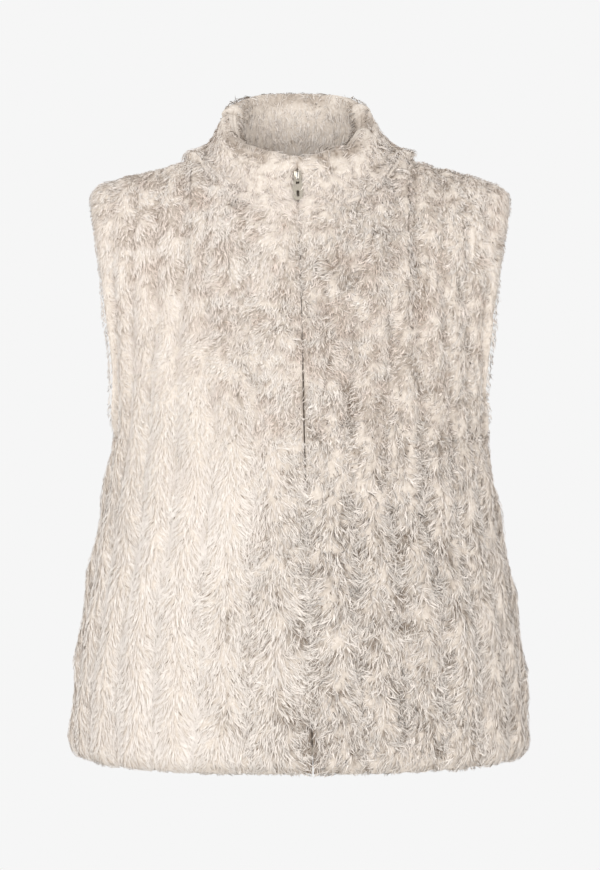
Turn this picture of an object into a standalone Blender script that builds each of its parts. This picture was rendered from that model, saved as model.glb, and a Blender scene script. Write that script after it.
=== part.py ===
"""A sleeveless faux fur vest with a stand collar and a front zip, filled out as if worn and with no wearer in it.

Metres, +Z up. The front faces -Y and the wearer's left side is +X. The origin lies between the wearer's
shoulders, at the height of the two points where the shoulder seams meet the neck.

Every cloth piece is a wall. Its inside is the plain knitted back of the fur, and its outside is as far as
the pile reaches, with the vertical channels of the fur raised in it.
"""

import math

import bmesh
import bpy
import numpy as np
from mathutils import Matrix, Vector

# Torso, measured on the inside of the cloth, from the hem up to the underarm.
SECTIONS = np.array(
    [
        # height, half width, front depth, back depth
        (-0.615, 0.2280, 0.138, 0.128),
        (-0.540, 0.2235, 0.135, 0.124),
        (-0.450, 0.2120, 0.129, 0.117),
        (-0.360, 0.1950, 0.124, 0.111),
        (-0.275, 0.1810, 0.122, 0.108),
    ]
)
HEIGHT, HALF_WIDTH, FRONT_DEPTH, BACK_DEPTH = range(4)
SECTION_POWER = 0.93  # below 1 makes a section a little squarer than an ellipse
HEM_HEIGHT = -0.604
HEM_SIDE_RISE = 0.003
UNDERARM_HEIGHT = -0.275

# Neck seam and collar rim, measured on the inside of the outer collar.
NECK_HALF_WIDTH, NECK_MIDDLE = 0.104, 0.004
NECK_FRONT_DEPTH, NECK_BACK_DEPTH = 0.081, 0.084
NECK_POINT_HEIGHT = 0.003
NECK_FRONT_DROP, NECK_BACK_DROP, NECK_CURVE = 0.052, -0.010, 1.4
RIM_HALF_WIDTH, RIM_HALF_DEPTH, RIM_MIDDLE = 0.0695, 0.069, 0.005
RIM_HEIGHT, RIM_TILT = 0.044, 0.036
RIM_FLATNESS_FRONT, RIM_FLATNESS_BACK = 0.35, 0.65  # 0 would leave the tilted rim in one plane
COLLAR_WAIST = 0.004  # how far the collar draws in between its seam and its rim

# Shoulder seam and armhole.
SHOULDER_TIP_X, SHOULDER_DROP = 0.2125, 0.029
TIP_ROUNDING, TIP_CURVE = 0.007, 8
SHOULDER_CURVE = 0.75  # below 1 drops the shoulder sooner beside the neck
ARMHOLE_SWELL = 0.005
ARMHOLE_FORWARD, ARMHOLE_BACKWARD = 0.052, 0.050
ARMHOLE_RISE, ARMHOLE_ROUNDNESS = 0.62, 0.75  # put the armhole's widest place low, and round its foot
ARMHOLE_SPREAD, UNDERARM_SPREAD = 2, 5  # the higher these are, the closer to its edge the bow stays
FRONT_ARRIVAL, BACK_ARRIVAL = math.radians(70), math.radians(60)

# The zip's line leans: its middle is this far to +X at the rim and at the hem.
LEAN_TOP, LEAN_HEM = -0.003, 0.013

# Pile, and the channels that run down it.
PILE, RIB_RISE, RIB_SWELL, SWELL_LENGTH, RIB_OFFSET = 0.0092, 0.0054, 0.30, 0.088, 2.4
RIB_AT_SHOULDER, RIB_ROUNDNESS = 0.45, 0.7
COLLAR_PILE, COLLAR_WAVE, COLLAR_WAVE_STEP, INNER_PILE = 0.0105, 0.0014, 1.35, 0.0080
RIBS = 7  # on each side of the middle, front and back
ROUND_EDGE = 0.013
FREE_EDGE_PILE, SEAM_PILE, ZIP_EDGE_PILE = 0.0052, 0.0086, 0.0044
MEANDER, MEANDER_LENGTH, MEANDER_TURNS = 0.010, 0.23, 9.0

# Cloth lengths that turn a share of a grid into a distance.
LOWER_LENGTH, UPPER_LENGTH, SIDE_WIDTH, FRONT_WIDTH = 0.33, 0.24, 0.19, 0.28
COLLAR_LENGTH, COLLAR_COLUMN = 0.06, 0.0148

# Grid of each panel. The neckline takes the first columns and the shoulder seam the rest.
COLUMNS_A_RIB = 3
COLUMNS = RIBS * COLUMNS_A_RIB
NECK_COLUMNS = 8
NECK_SHARE = NECK_COLUMNS / COLUMNS
LOWER_ROWS = (0.0, 0.013, 0.040, 0.12, 0.21, 0.30, 0.39, 0.48, 0.57, 0.66, 0.75, 0.84, 0.93, 1.0)
UPPER_ROWS = (0.025, 0.08, 0.17, 0.27, 0.38, 0.49, 0.60, 0.71, 0.82, 0.91, 0.96, 1.0)
COLLAR_ROWS = (0.0, 0.16, 0.40, 0.66, 0.88, 1.0)
SEAM_GAP = 0.0004

# Zip.
ZIP_GAP_BODY, ZIP_GAP_RIM = 0.0034, 0.0048  # from the zip's middle to each fur edge
ZIP_GAP_WIDENS = 0.11  # over this height below the rim, for the slider
CHAIN_WIDTH, CHAIN_CREST, CHAIN_LOW, CHAIN_HIGH = 0.0056, 0.0045, 0.0003, 0.0029
CHAIN_ROWS, CHAIN_NECK_ROWS = 20, 5
CHAIN_BEND = (1.9, 1.96)  # shares on both sides of the neck seam, where the chain bends
CHAIN_TO_SLIDER = 0.125
TAPE_THICK, TAPE_SPLIT = 0.0009, 0.0003
TAPE_COLUMNS = 1  # of the panel's grid, behind the fur
SLIDER_PLACE = 0.68  # share of the collar's height at the front
SLIDER_WIDTH, SLIDER_FOOT, SLIDER_LENGTH = 0.0084, 0.0066, 0.0120
SLIDER_LOW, SLIDER_HIGH, METAL_BEVEL = 0.0003, 0.0043, 0.0007
BRIDGE_SUNK = 0.001  # how far the bridge's feet run into the slider
BRIDGE_WIDTH, BRIDGE_BAR = 0.0022, 0.0011
BRIDGE_LOW_END, BRIDGE_HIGH_END, BRIDGE_RISE = -0.0036, 0.0044, 0.0037
PIVOT_ALONG, PIVOT_OUT = -0.0015, 0.0055
PULL_THICK, PULL_LENGTH, PULL_BAR = 0.0014, 0.0238, 0.0007
PULL_TOP, PULL_WIDEST, PULL_BOTTOM, PULL_WIDENS_TO = 0.0062, 0.0112, 0.0104, 0.0085
PULL_SLOT_WIDTH, PULL_SLOT_END = 0.0034, 0.0072
PULL_HOLE_WIDTH, PULL_HOLE_TOP, PULL_HOLE_END = 0.0028, 0.0138, 0.0205
PULL_ROUNDING, PULL_SLOT_ROUNDING, PULL_HOLE_ROUNDING = 0.0018, 0.0005, 0.0013
PULL_REST = math.radians(9)  # how far the fur holds the pull off the zip's line
BOX_WIDTH, BOX_LENGTH, BOX_LOW, BOX_HIGH = 0.0062, 0.0085, 0.0003, 0.0040
BOX_PLACE, CHAIN_START = 0.062, 0.078  # shares of the way from the hem to the underarm

FUR, FUR_FACING = (0.80, 0.71, 0.62), (0.66, 0.57, 0.49)
TAPE_COLOUR, METAL = (0.30, 0.26, 0.22), (0.62, 0.61, 0.58)
QUARTER = math.pi / 2
NORMAL_STEP, ZIP_STEP = 1e-3, 2e-3  # shares stepped by to read a direction off a surface
SEAM_READ = 1.92  # where a panel's direction is read for its top edge, just below the corner at the neck


def between(low, high, share):
    return low + (high - low) * share


def eased(share):
    share = np.clip(share, 0.0, 1.0)
    return share * share * (3 - 2 * share)


def section(column, height):
    """A smooth curve through one column of the torso's sections, read at a height."""
    heights, values = SECTIONS[:, HEIGHT], SECTIONS[:, column]
    slopes = np.gradient(values, heights)
    height = np.clip(height, heights[0], heights[-1])
    i = np.clip(np.searchsorted(heights, height) - 1, 0, len(heights) - 2)
    span = heights[i + 1] - heights[i]
    s = (height - heights[i]) / span
    return (
        (2 * s**3 - 3 * s**2 + 1) * values[i]
        + (s**3 - 2 * s**2 + s) * span * slopes[i]
        + (3 * s**2 - 2 * s**3) * values[i + 1]
        + (s**3 - s**2) * span * slopes[i + 1]
    )


def powered(value, power):
    return np.sign(value) * np.abs(value) ** power


def lean(height):
    """How far to +X the zip's line stands at a height."""
    rim = RIM_HEIGHT - RIM_TILT
    return between(LEAN_TOP, LEAN_HEM, (rim - height) / (rim - HEM_HEIGHT))


def zip_gap(height):
    wide = 1 - np.clip((RIM_HEIGHT - RIM_TILT - height) / ZIP_GAP_WIDENS, 0, 1)
    return between(ZIP_GAP_BODY, ZIP_GAP_RIM, wide)


def front_shift(share, height, side):
    """Moves the points near the front's middle with the leaning zip, and clear of it."""
    near = np.clip(1 - share, 0, None)
    return lean(height) * near**2 + side * zip_gap(height) * near**3


def neck_seam(turn, side):
    """The seam between the body and the collar. turn runs from 0 at the front's middle to pi at the back's."""
    front = np.cos(turn) > 0
    depth = np.where(front, NECK_FRONT_DEPTH, NECK_BACK_DEPTH)
    drop = np.where(front, NECK_FRONT_DROP, NECK_BACK_DROP)
    height = NECK_POINT_HEIGHT - drop * np.abs(np.cos(turn)) ** NECK_CURVE
    x = side * NECK_HALF_WIDTH * np.sin(turn)
    x = x + np.where(front, front_shift(turn / QUARTER, height, side), 0)
    return np.stack([x, NECK_MIDDLE - depth * np.cos(turn), height], -1)


def rim(turn, side):
    """The top edge of the collar."""
    cosine = np.cos(turn)
    flatness = np.where(cosine > 0, RIM_FLATNESS_FRONT, RIM_FLATNESS_BACK)
    tilt = cosine * (1 + flatness * (1 - np.abs(cosine)))
    height = RIM_HEIGHT - RIM_TILT * tilt
    near = np.where(cosine > 0, 1 - turn / QUARTER, 0)
    x = LEAN_TOP + side * (RIM_HALF_WIDTH * np.sin(turn) + zip_gap(height) * near**3)
    return np.stack([x, RIM_MIDDLE - RIM_HALF_DEPTH * np.cos(turn), height], -1)


def collar_point(turn, share, side):
    """A point on the inside of the outer collar, share 0 at the neck seam and 1 at the rim."""
    turn, share = np.broadcast_arrays(turn, share)
    low, high = neck_seam(turn, side), rim(turn, side)
    point = between(low, high, share[..., None])
    inward = np.stack([-side * np.sin(turn), np.cos(turn), 0 * turn], -1)
    return point + inward * (COLLAR_WAIST * np.sin(math.pi * share))[..., None]


def top_edge(u, side, face):
    """Where a column of a panel ends: on the neck seam, or past NECK_SHARE on the shoulder seam."""
    turn = np.clip(u / NECK_SHARE, None, 1) * QUARTER
    neck = neck_seam(turn if face < 0 else math.pi - turn, side)
    out = np.clip((u - NECK_SHARE) / (1 - NECK_SHARE), 0, None)
    shoulder = np.stack(
        [
            side * between(NECK_HALF_WIDTH, SHOULDER_TIP_X, out),
            NECK_MIDDLE + 0 * out,
            NECK_POINT_HEIGHT - SHOULDER_DROP * out**SHOULDER_CURVE - TIP_ROUNDING * out**TIP_CURVE,
        ],
        -1,
    )
    return np.where((u < NECK_SHARE)[..., None], neck, shoulder)


def ring_point(u, height, side, face):
    """A point of the torso below the underarm, u 0 in the middle and 1 at the side seam."""
    angle = u * QUARTER
    depth = section(FRONT_DEPTH if face < 0 else BACK_DEPTH, height)
    x = side * section(HALF_WIDTH, height) * powered(np.sin(angle), SECTION_POWER)
    y = face * depth * powered(np.cos(angle), SECTION_POWER)
    if face < 0:
        x = x + front_shift(u / NECK_SHARE, height, side)
    return np.stack([x, y, height + 0 * x], -1)


def panel_point(u, v, side, face):
    """A point on the inside of a panel. v runs from 0 at the hem over 1 at the underarm to 2 at the top edge."""
    u, v = np.broadcast_arrays(np.asarray(u, float), np.asarray(v, float))
    hem = HEM_HEIGHT + HEM_SIDE_RISE * np.sin(u * QUARTER) ** 2
    low = ring_point(u, between(hem, UNDERARM_HEIGHT, np.clip(v, 0, 1)), side, face)
    climb = np.clip(v - 1, 0, 1)
    arrival = FRONT_ARRIVAL if face < 0 else BACK_ARRIVAL
    arrival = between(arrival, QUARTER, eased(u / NECK_SHARE))
    back = (1 - np.cos(climb * arrival)) / (1 - np.cos(arrival))
    up = np.sin(climb * arrival) / np.sin(arrival)
    goal = top_edge(u, side, face)
    high = np.stack(
        [
            between(low[..., 0], goal[..., 0], climb),
            between(low[..., 1], goal[..., 1], back),
            between(low[..., 2], goal[..., 2], up),
        ],
        -1,
    )
    # The armhole bows away from the side seam, and close to the underarm only its edge does.
    reach = ARMHOLE_FORWARD if face < 0 else ARMHOLE_BACKWARD
    bow = np.abs(np.sin(math.pi * climb**ARMHOLE_RISE)) ** ARMHOLE_ROUNDNESS
    spread = ARMHOLE_SPREAD + UNDERARM_SPREAD * (1 - climb) ** 4
    high[..., 1] += face * reach * bow * np.abs(u) ** spread
    high[..., 0] += side * ARMHOLE_SWELL * np.sin(math.pi * climb**2) * u**2
    return np.where((v > 1)[..., None], high, low)


def outward(across, along, keep):
    normal = np.cross(across, along) * keep
    return normal / np.linalg.norm(normal, axis=-1, keepdims=True)


def panel_normal(u, v, side, face):
    step = NORMAL_STEP
    low_v, high_v = np.clip(v - step, 0, 2), np.clip(v + step, 0, 2)
    across = panel_point(u + step, v, side, face) - panel_point(u - step, v, side, face)
    along = panel_point(u, high_v, side, face) - panel_point(u, low_v, side, face)
    return outward(across, along, -side * face)


def collar_normal(turn, share, side):
    step = NORMAL_STEP
    across = collar_point(turn + step, share, side) - collar_point(turn - step, share, side)
    along = collar_point(turn, share + step, side) - collar_point(turn, share - step, side)
    return outward(across, along, side)


def unit(vectors):
    return vectors / np.linalg.norm(vectors, axis=-1, keepdims=True)


def shared_normals(u, side, face):
    """One direction for both walls that meet at a panel's top edge, so that neither leans into the other."""
    top = np.full_like(u, SEAM_READ)
    own = panel_normal(u, top, side, face)
    turn = np.clip(u / NECK_SHARE, 0, 1) * QUARTER
    collar = collar_normal(turn if face < 0 else math.pi - turn, 0 * u, side)
    other = panel_normal(u, top, side, -face)
    at_neck = unit(own + collar)
    at_shoulder = unit(own + other)
    corner = unit(own + other + collar)
    on_neck = (u < NECK_SHARE - 1e-6)[..., None]
    on_corner = (np.abs(u - NECK_SHARE) < 1e-6)[..., None]
    return np.where(on_corner, corner, np.where(on_neck, at_neck, at_shoulder))


def rounded_off(pile, edge_pile, distance):
    """Brings the pile down to edge_pile at an edge, over a quarter round."""
    share = np.clip(distance / ROUND_EDGE, 0, 1)
    return between(edge_pile, pile, np.sqrt(1 - (1 - share) ** 2))


def panel_pile(u, v, side, face):
    """How far the pile stands off the cloth: channels between ribs, thinner at edges and seams."""
    place = np.abs(u) * RIBS
    rib = np.floor(np.clip(place, 0, RIBS - 1e-6))
    share = place - rib
    crown = np.clip(4 * share * (1 - share), 0, 1) ** RIB_ROUNDNESS
    wave = 2 * math.pi * v * LOWER_LENGTH / SWELL_LENGTH
    swell = 1 + RIB_SWELL * np.sin(wave + RIB_OFFSET * rib + side)
    rise = RIB_RISE * between(1, RIB_AT_SHOULDER, eased(v - 1))
    height = panel_point(u, v, side, face)[..., 2]
    open_edge = between(SEAM_PILE, FREE_EDGE_PILE, eased((v - 0.96) / 0.2))
    pile = rounded_off(PILE + rise * crown * swell, SEAM_PILE, (2 - v) * UPPER_LENGTH)
    pile = rounded_off(pile, open_edge, (1 - np.abs(u)) * SIDE_WIDTH)
    pile = rounded_off(pile, FREE_EDGE_PILE, height - HEM_HEIGHT)
    if face < 0:
        pile = rounded_off(pile, ZIP_EDGE_PILE, u * FRONT_WIDTH)
    return pile


def meandered(u, v):
    """Lets the channels wander a little, and not at the edges of a panel."""
    away = np.clip(np.sin(math.pi * u), 0, None) ** 0.5 * eased((2 - v) / 0.4)
    return u + MEANDER * away * np.sin(
        2 * math.pi * v * LOWER_LENGTH / MEANDER_LENGTH + MEANDER_TURNS * u
    )


def pulled_back(points, rows=(), columns=()):
    """Draws a grid's edge rows and columns back from a seam by half the gap."""
    points = points.copy()
    for edge, beside in rows:
        points[edge] += unit(points[beside] - points[edge]) * SEAM_GAP / 2
    for edge, beside in columns:
        points[:, edge] += unit(points[:, beside] - points[:, edge]) * SEAM_GAP / 2
    return points


def wall(name, outer, inner, colour, roughness=0.9):
    """A closed wall between two grids of the same rows and columns. Its outside faces away from inner."""
    rows, columns = outer.shape[:2]
    mesh = bpy.data.meshes.new(name)
    shape = bmesh.new()
    out = [[shape.verts.new(p) for p in row] for row in outer]
    into = [[shape.verts.new(p) for p in row] for row in inner]
    for i in range(rows - 1):
        for j in range(columns - 1):
            shape.faces.new((out[i][j], out[i][j + 1], out[i + 1][j + 1], out[i + 1][j]))
            shape.faces.new((into[i][j], into[i + 1][j], into[i + 1][j + 1], into[i][j + 1]))
    edge = []
    for i in (0, rows - 1):
        for j in range(columns - 1):
            edge.append(shape.faces.new((out[i][j], into[i][j], into[i][j + 1], out[i][j + 1])))
    for j in (0, columns - 1):
        for i in range(rows - 1):
            edge.append(shape.faces.new((out[i][j], out[i + 1][j], into[i + 1][j], into[i][j])))
    # Two walls that meet at a seam get the same triangles there, so a twist can't push one into the other.
    bmesh.ops.triangulate(shape, faces=edge, quad_method="SHORT_EDGE")
    bmesh.ops.recalc_face_normals(shape, faces=shape.faces)
    shape.to_mesh(mesh)
    shape.free()
    mesh.shade_smooth()
    return placed(name, mesh, colour, roughness)


def material(name, colour, roughness, metallic=0.0):
    made = bpy.data.materials.new(name)
    made.use_nodes = True
    shader = made.node_tree.nodes["Principled BSDF"]
    shader.inputs["Base Color"].default_value = (*colour, 1.0)
    shader.inputs["Roughness"].default_value = roughness
    shader.inputs["Metallic"].default_value = metallic
    return made


def placed(name, data, colour, roughness, metallic=0.0):
    data.materials.clear()
    data.materials.append(material(name, colour, roughness, metallic))
    made = bpy.data.objects.new(name, data)
    vest.objects.link(made)
    return made


def panel_half(side, face):
    """The outer and inner grids of one half of the body, row by row up from the hem."""
    v = np.array(LOWER_ROWS + tuple(1 + row for row in UPPER_ROWS))[:, None]
    plain = np.arange(COLUMNS + 1)[None, :] / COLUMNS
    plain, v = np.broadcast_arrays(plain, v)
    pile = panel_pile(plain, v, side, face)
    u = meandered(plain, v)
    inner = panel_point(u, v, side, face)
    normals = panel_normal(u, v, side, face)
    # The last rows turn their direction towards the one that the seam shares.
    shared = shared_normals(u[-1], side, face)
    for row, share in ((-1, 1.0), (-2, 0.6), (-3, 0.25)):
        normals[row] = unit(between(normals[row], shared, share))
    # On the side seam it points straight to the side, so the front and the back agree.
    lower = len(LOWER_ROWS)
    normals[:lower, -1] = unit(normals[:lower, -1] * [1, 0, 1])
    outer = inner + normals * pile[..., None]
    for grid in (outer, inner):
        grid[:] = pulled_back(grid, rows=((-1, -2),))
        grid[:lower] = pulled_back(grid[:lower], columns=((-1, -2),))
    return outer, inner


def front(name, side):
    outer, inner = panel_half(side, -1)
    return wall(name, outer, inner, FUR)


def back():
    """Cut in one piece, so its two halves share their middle column."""
    outer, inner = panel_half(1, 1)
    other_outer, other_inner = panel_half(-1, 1)
    outer = np.concatenate([outer[:, ::-1], other_outer[:, 1:]], axis=1)
    inner = np.concatenate([inner[:, ::-1], other_inner[:, 1:]], axis=1)
    return wall("back", outer, inner, FUR)


def collar_grids():
    """The collar's cloth and its outward directions, from the front's middle round the back to it again."""
    turn = np.linspace(0, math.pi, 2 * NECK_COLUMNS + 1)[None, :]
    share = np.array(COLLAR_ROWS)[:, None]
    turn, share = np.broadcast_arrays(turn, share)
    points, normals = [], []
    for side in (1, -1):
        point = collar_point(turn, share, side)
        normal = collar_normal(turn, share, side)
        u = np.arange(NECK_COLUMNS + 1) / COLUMNS
        shared = np.concatenate(
            [shared_normals(u, side, -1), shared_normals(u, side, 1)[-2::-1]]
        )
        for row, weight in ((0, 1.0), (1, 0.45)):
            normal[row] = unit(between(normal[row], shared, weight))
        order = slice(None) if side > 0 else slice(-2, None, -1)
        points.append(point[:, order])
        normals.append(normal[:, order])
    return np.concatenate(points, axis=1), np.concatenate(normals, axis=1)


def collar():
    """Two layers of fur, back to back: the outer collar and the facing that shows inside the neck."""
    cloth, normals = collar_grids()
    rows, columns = cloth.shape[:2]
    share = np.array(COLLAR_ROWS)[:, None]
    place = np.arange(columns)[None, :]
    from_zip = np.minimum(place, columns - 1 - place)
    to_zip, to_rim = from_zip * COLLAR_COLUMN, (1 - share) * COLLAR_LENGTH
    wave = COLLAR_WAVE * np.sin(place * COLLAR_WAVE_STEP) * np.sin(math.pi * share)
    pile = rounded_off(COLLAR_PILE + wave, SEAM_PILE, share * COLLAR_LENGTH)
    pile = rounded_off(pile, FREE_EDGE_PILE, to_rim)
    pile = rounded_off(pile, ZIP_EDGE_PILE, to_zip)
    outer = cloth + normals * pile[..., None]
    # The facing stands off at the zip's edge, where the tape lies between the two layers.
    room = np.where(from_zip <= TAPE_COLUMNS, CHAIN_LOW + TAPE_THICK, 0)
    facing_top = cloth - normals * (SEAM_GAP + room)[..., None]
    facing_pile = rounded_off(INNER_PILE, FREE_EDGE_PILE, to_rim)
    facing_pile = rounded_off(facing_pile, ZIP_EDGE_PILE, to_zip)
    facing = facing_top - normals * facing_pile[..., None]
    seam = ((0, 1),)
    wall("collar_outer", pulled_back(outer, seam), pulled_back(cloth, seam), FUR)
    wall("collar_inner", pulled_back(facing, seam), pulled_back(facing_top, seam), FUR_FACING)


def zip_line(share):
    """A point on the zip's middle and the directions across, up and out of the cloth there.

    share runs from 0 at the hem over 2 at the neck seam to 3 at the rim.
    """

    def middle(s):
        if s <= 2:
            sides = [panel_point(np.array(0.0), np.array(s), side, -1) for side in (1, -1)]
        else:
            sides = [collar_point(np.array(0.0), np.array(s - 2), side) for side in (1, -1)]
        return (sides[0] + sides[1]) / 2

    low, high = max(share - ZIP_STEP, 0), min(share + ZIP_STEP, 3)
    up = unit(middle(high) - middle(low))
    across = unit(np.cross([0, -1, 0], up)) * -1
    out = np.cross(up, across)
    return middle(share), across * np.sign(across[0]), up, out * -np.sign(out[1])


def zip_chain():
    """The closed row of teeth as one plain bar, from the box at the hem to the slider."""
    body = np.linspace(CHAIN_START, CHAIN_BEND[0], CHAIN_ROWS)
    neck = np.linspace(CHAIN_BEND[1], 2 + SLIDER_PLACE - CHAIN_TO_SLIDER, CHAIN_NECK_ROWS)
    shares = np.concatenate([body, neck])
    rings = []
    for share in shares:
        middle, across, _, out = zip_line(share)
        half, crest = across * CHAIN_WIDTH / 2, across * CHAIN_CREST / 2
        rings.append(
            [
                middle - half + out * CHAIN_LOW,
                middle + half + out * CHAIN_LOW,
                middle + crest + out * CHAIN_HIGH,
                middle - crest + out * CHAIN_HIGH,
            ]
        )
    rings = np.array(rings)
    return wall("zip_chain", rings[:, [3, 2]], rings[:, [0, 1]], METAL, 0.4)


def zip_tape(name, side):
    """A strip behind the fur's front edge, made from the cloth's own points and moved inwards."""
    v = np.array(LOWER_ROWS + tuple(1 + row for row in UPPER_ROWS))[1:, None]
    u = np.array([0, 0, TAPE_COLUMNS])[None, :] / COLUMNS
    u, v = np.broadcast_arrays(u, v)
    u = meandered(u, v)
    body, body_out = panel_point(u, v, side, -1), panel_normal(u, v, side, -1)
    turn = np.array([0, 0, TAPE_COLUMNS])[None, :] / NECK_COLUMNS * QUARTER
    turn, share = np.broadcast_arrays(turn, np.array(COLLAR_ROWS)[:-1, None])
    neck, neck_out = collar_point(turn, share, side), collar_normal(turn, share, side)
    seam_out = unit(body_out[-1] + neck_out[0])
    cloth = np.concatenate([body[:-1], neck])
    out = np.concatenate([body_out[:-1], seam_out[None], neck_out[1:]])
    # The first column reaches past the fur's edge, to just short of the zip's middle.
    cloth[:, 0, 0] = lean(cloth[:, 0, 2]) + side * TAPE_SPLIT
    outer = cloth - out * CHAIN_LOW
    return wall(name, outer, outer - out * TAPE_THICK, TAPE_COLOUR, 0.8)


def slider_frame():
    """The matrix that carries +X across, +Y up the zip and +Z out of the cloth to the slider's place."""
    middle, across, up, out = zip_line(2 + SLIDER_PLACE)
    turn = Matrix((across, up, out)).transposed().to_4x4()
    return Matrix.Translation(Vector(middle)) @ turn


def metal_mesh(name, build):
    mesh = bpy.data.meshes.new(name)
    shape = bmesh.new()
    build(shape)
    shape.to_mesh(mesh)
    shape.free()
    return mesh


def block(shape, width, foot, length, low, high):
    """A rounded block, width at its upper end and foot at its lower one."""
    made = bmesh.ops.create_cube(shape, size=1.0)
    for vertex in made["verts"]:
        wide = width if vertex.co.y > 0 else foot
        vertex.co.x *= wide
        vertex.co.y *= length
        vertex.co.z = between(low, high, vertex.co.z + 0.5)
    bmesh.ops.bevel(
        shape, geom=shape.edges[:], offset=METAL_BEVEL, segments=1, affect="EDGES", profile=0.5
    )


def zip_slider():
    """The die-cast body of the slider, with the bridge that the pull hangs on."""
    frame = slider_frame()
    body = placed(
        "zip_slider",
        metal_mesh(
            "zip_slider",
            lambda shape: block(
                shape, SLIDER_WIDTH, SLIDER_FOOT, SLIDER_LENGTH, SLIDER_LOW, SLIDER_HIGH
            ),
        ),
        METAL,
        0.3,
        1.0,
    )
    body.matrix_world = frame
    low, high, top = BRIDGE_LOW_END, BRIDGE_HIGH_END, SLIDER_HIGH + BRIDGE_RISE
    sunk = SLIDER_HIGH - BRIDGE_SUNK
    bar = BRIDGE_BAR
    outline = (
        (low, sunk),
        (low, top - bar),
        (low + bar, top),
        (high - bar, top),
        (high, top - bar),
        (high, sunk),
        (high - bar, sunk),
        (high - bar, top - bar),
        (low + bar, top - bar),
        (low + bar, sunk),
    )

    def arch(shape):
        ring = [shape.verts.new((-BRIDGE_WIDTH / 2, y, z)) for y, z in outline]
        face = shape.faces.new(ring)
        made = bmesh.ops.extrude_face_region(shape, geom=[face])
        moved = [v for v in made["geom"] if isinstance(v, bmesh.types.BMVert)]
        bmesh.ops.translate(shape, vec=(BRIDGE_WIDTH, 0, 0), verts=moved)
        bmesh.ops.recalc_face_normals(shape, faces=shape.faces)

    bridge = bpy.data.objects.new("bridge", metal_mesh("bridge", arch))
    cutters.objects.link(bridge)
    bridge.matrix_world = frame
    bridge.hide_render = True
    bridge.display_type = "WIRE"
    join = body.modifiers.new("bridge", "BOOLEAN")
    join.operation = "UNION"
    join.object = bridge
    return body


def rounded_outline(corners, radius, steps=3):
    """A closed outline with each corner replaced by a short arc."""
    points = []
    count = len(corners)
    for i, corner in enumerate(corners):
        corner = Vector(corner)
        before = (Vector(corners[i - 1]) - corner).normalized()
        after = (Vector(corners[(i + 1) % count]) - corner).normalized()
        for step in range(steps + 1):
            t = step / steps
            start, end = corner + before * radius, corner + after * radius
            points.append(start * (1 - t) ** 2 + corner * 2 * t * (1 - t) + end * t * t)
    return points


def zip_pull():
    """A flat die-cut pull: a bar under the bridge, a slot that the bridge passes through, and a widening tab."""
    top, end = PULL_BAR, -PULL_LENGTH
    half_top, half_widest, half_end = PULL_TOP / 2, PULL_WIDEST / 2, PULL_BOTTOM / 2
    outlines = (
        (
            [
                (-half_top, top),
                (half_top, top),
                (half_widest, -PULL_WIDENS_TO),
                (half_end, end),
                (-half_end, end),
                (-half_widest, -PULL_WIDENS_TO),
            ],
            PULL_ROUNDING,
        ),
        (slot(PULL_SLOT_WIDTH, -PULL_BAR, -PULL_SLOT_END), PULL_SLOT_ROUNDING),
        (slot(PULL_HOLE_WIDTH, -PULL_HOLE_TOP, -PULL_HOLE_END), PULL_HOLE_ROUNDING),
    )
    curve = bpy.data.curves.new("zip_pull", "CURVE")
    curve.dimensions = "2D"
    curve.fill_mode = "BOTH"
    curve.extrude = PULL_THICK / 2
    for corners, radius in outlines:
        points = rounded_outline(corners, radius)
        spline = curve.splines.new("POLY")
        spline.points.add(len(points) - 1)
        spline.use_cyclic_u = True
        for point, place in zip(spline.points, points):
            point.co = (place.x, place.y, 0, 1)
    pull = placed("zip_pull", curve, METAL, 0.3, 1.0)
    pivot = Matrix.Translation((0, PIVOT_ALONG, PIVOT_OUT))
    pull.matrix_world = slider_frame() @ pivot @ Matrix.Rotation(-PULL_REST, 4, "X")
    return pull


def slot(width, top, end):
    half = width / 2
    return [(-half, top), (half, top), (half, end), (-half, end)]


def zip_box():
    """The moulded box at the foot of the open-ended zip."""
    middle, across, up, out = zip_line(BOX_PLACE)
    turn = Matrix((across, up, out)).transposed().to_4x4()
    box = placed(
        "zip_box",
        metal_mesh(
            "zip_box",
            lambda shape: block(shape, BOX_WIDTH, BOX_WIDTH, BOX_LENGTH, BOX_LOW, BOX_HIGH),
        ),
        METAL,
        0.4,
        1.0,
    )
    box.matrix_world = Matrix.Translation(Vector(middle)) @ turn
    return box


for old in list(bpy.data.objects):
    bpy.data.objects.remove(old)
vest = bpy.data.collections.new("faux_fur_vest")
cutters = bpy.data.collections.new("cutters")
bpy.context.scene.collection.children.link(vest)
bpy.context.scene.collection.children.link(cutters)

front("front_left", 1)
front("front_right", -1)
back()
collar()
zip_tape("zip_tape_left", 1)
zip_tape("zip_tape_right", -1)
zip_chain()
zip_slider()
zip_pull()
zip_box()
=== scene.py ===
import math

import bmesh
import bpy
import numpy as np
from mathutils import Matrix, Vector
from mathutils.kdtree import KDTree


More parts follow.
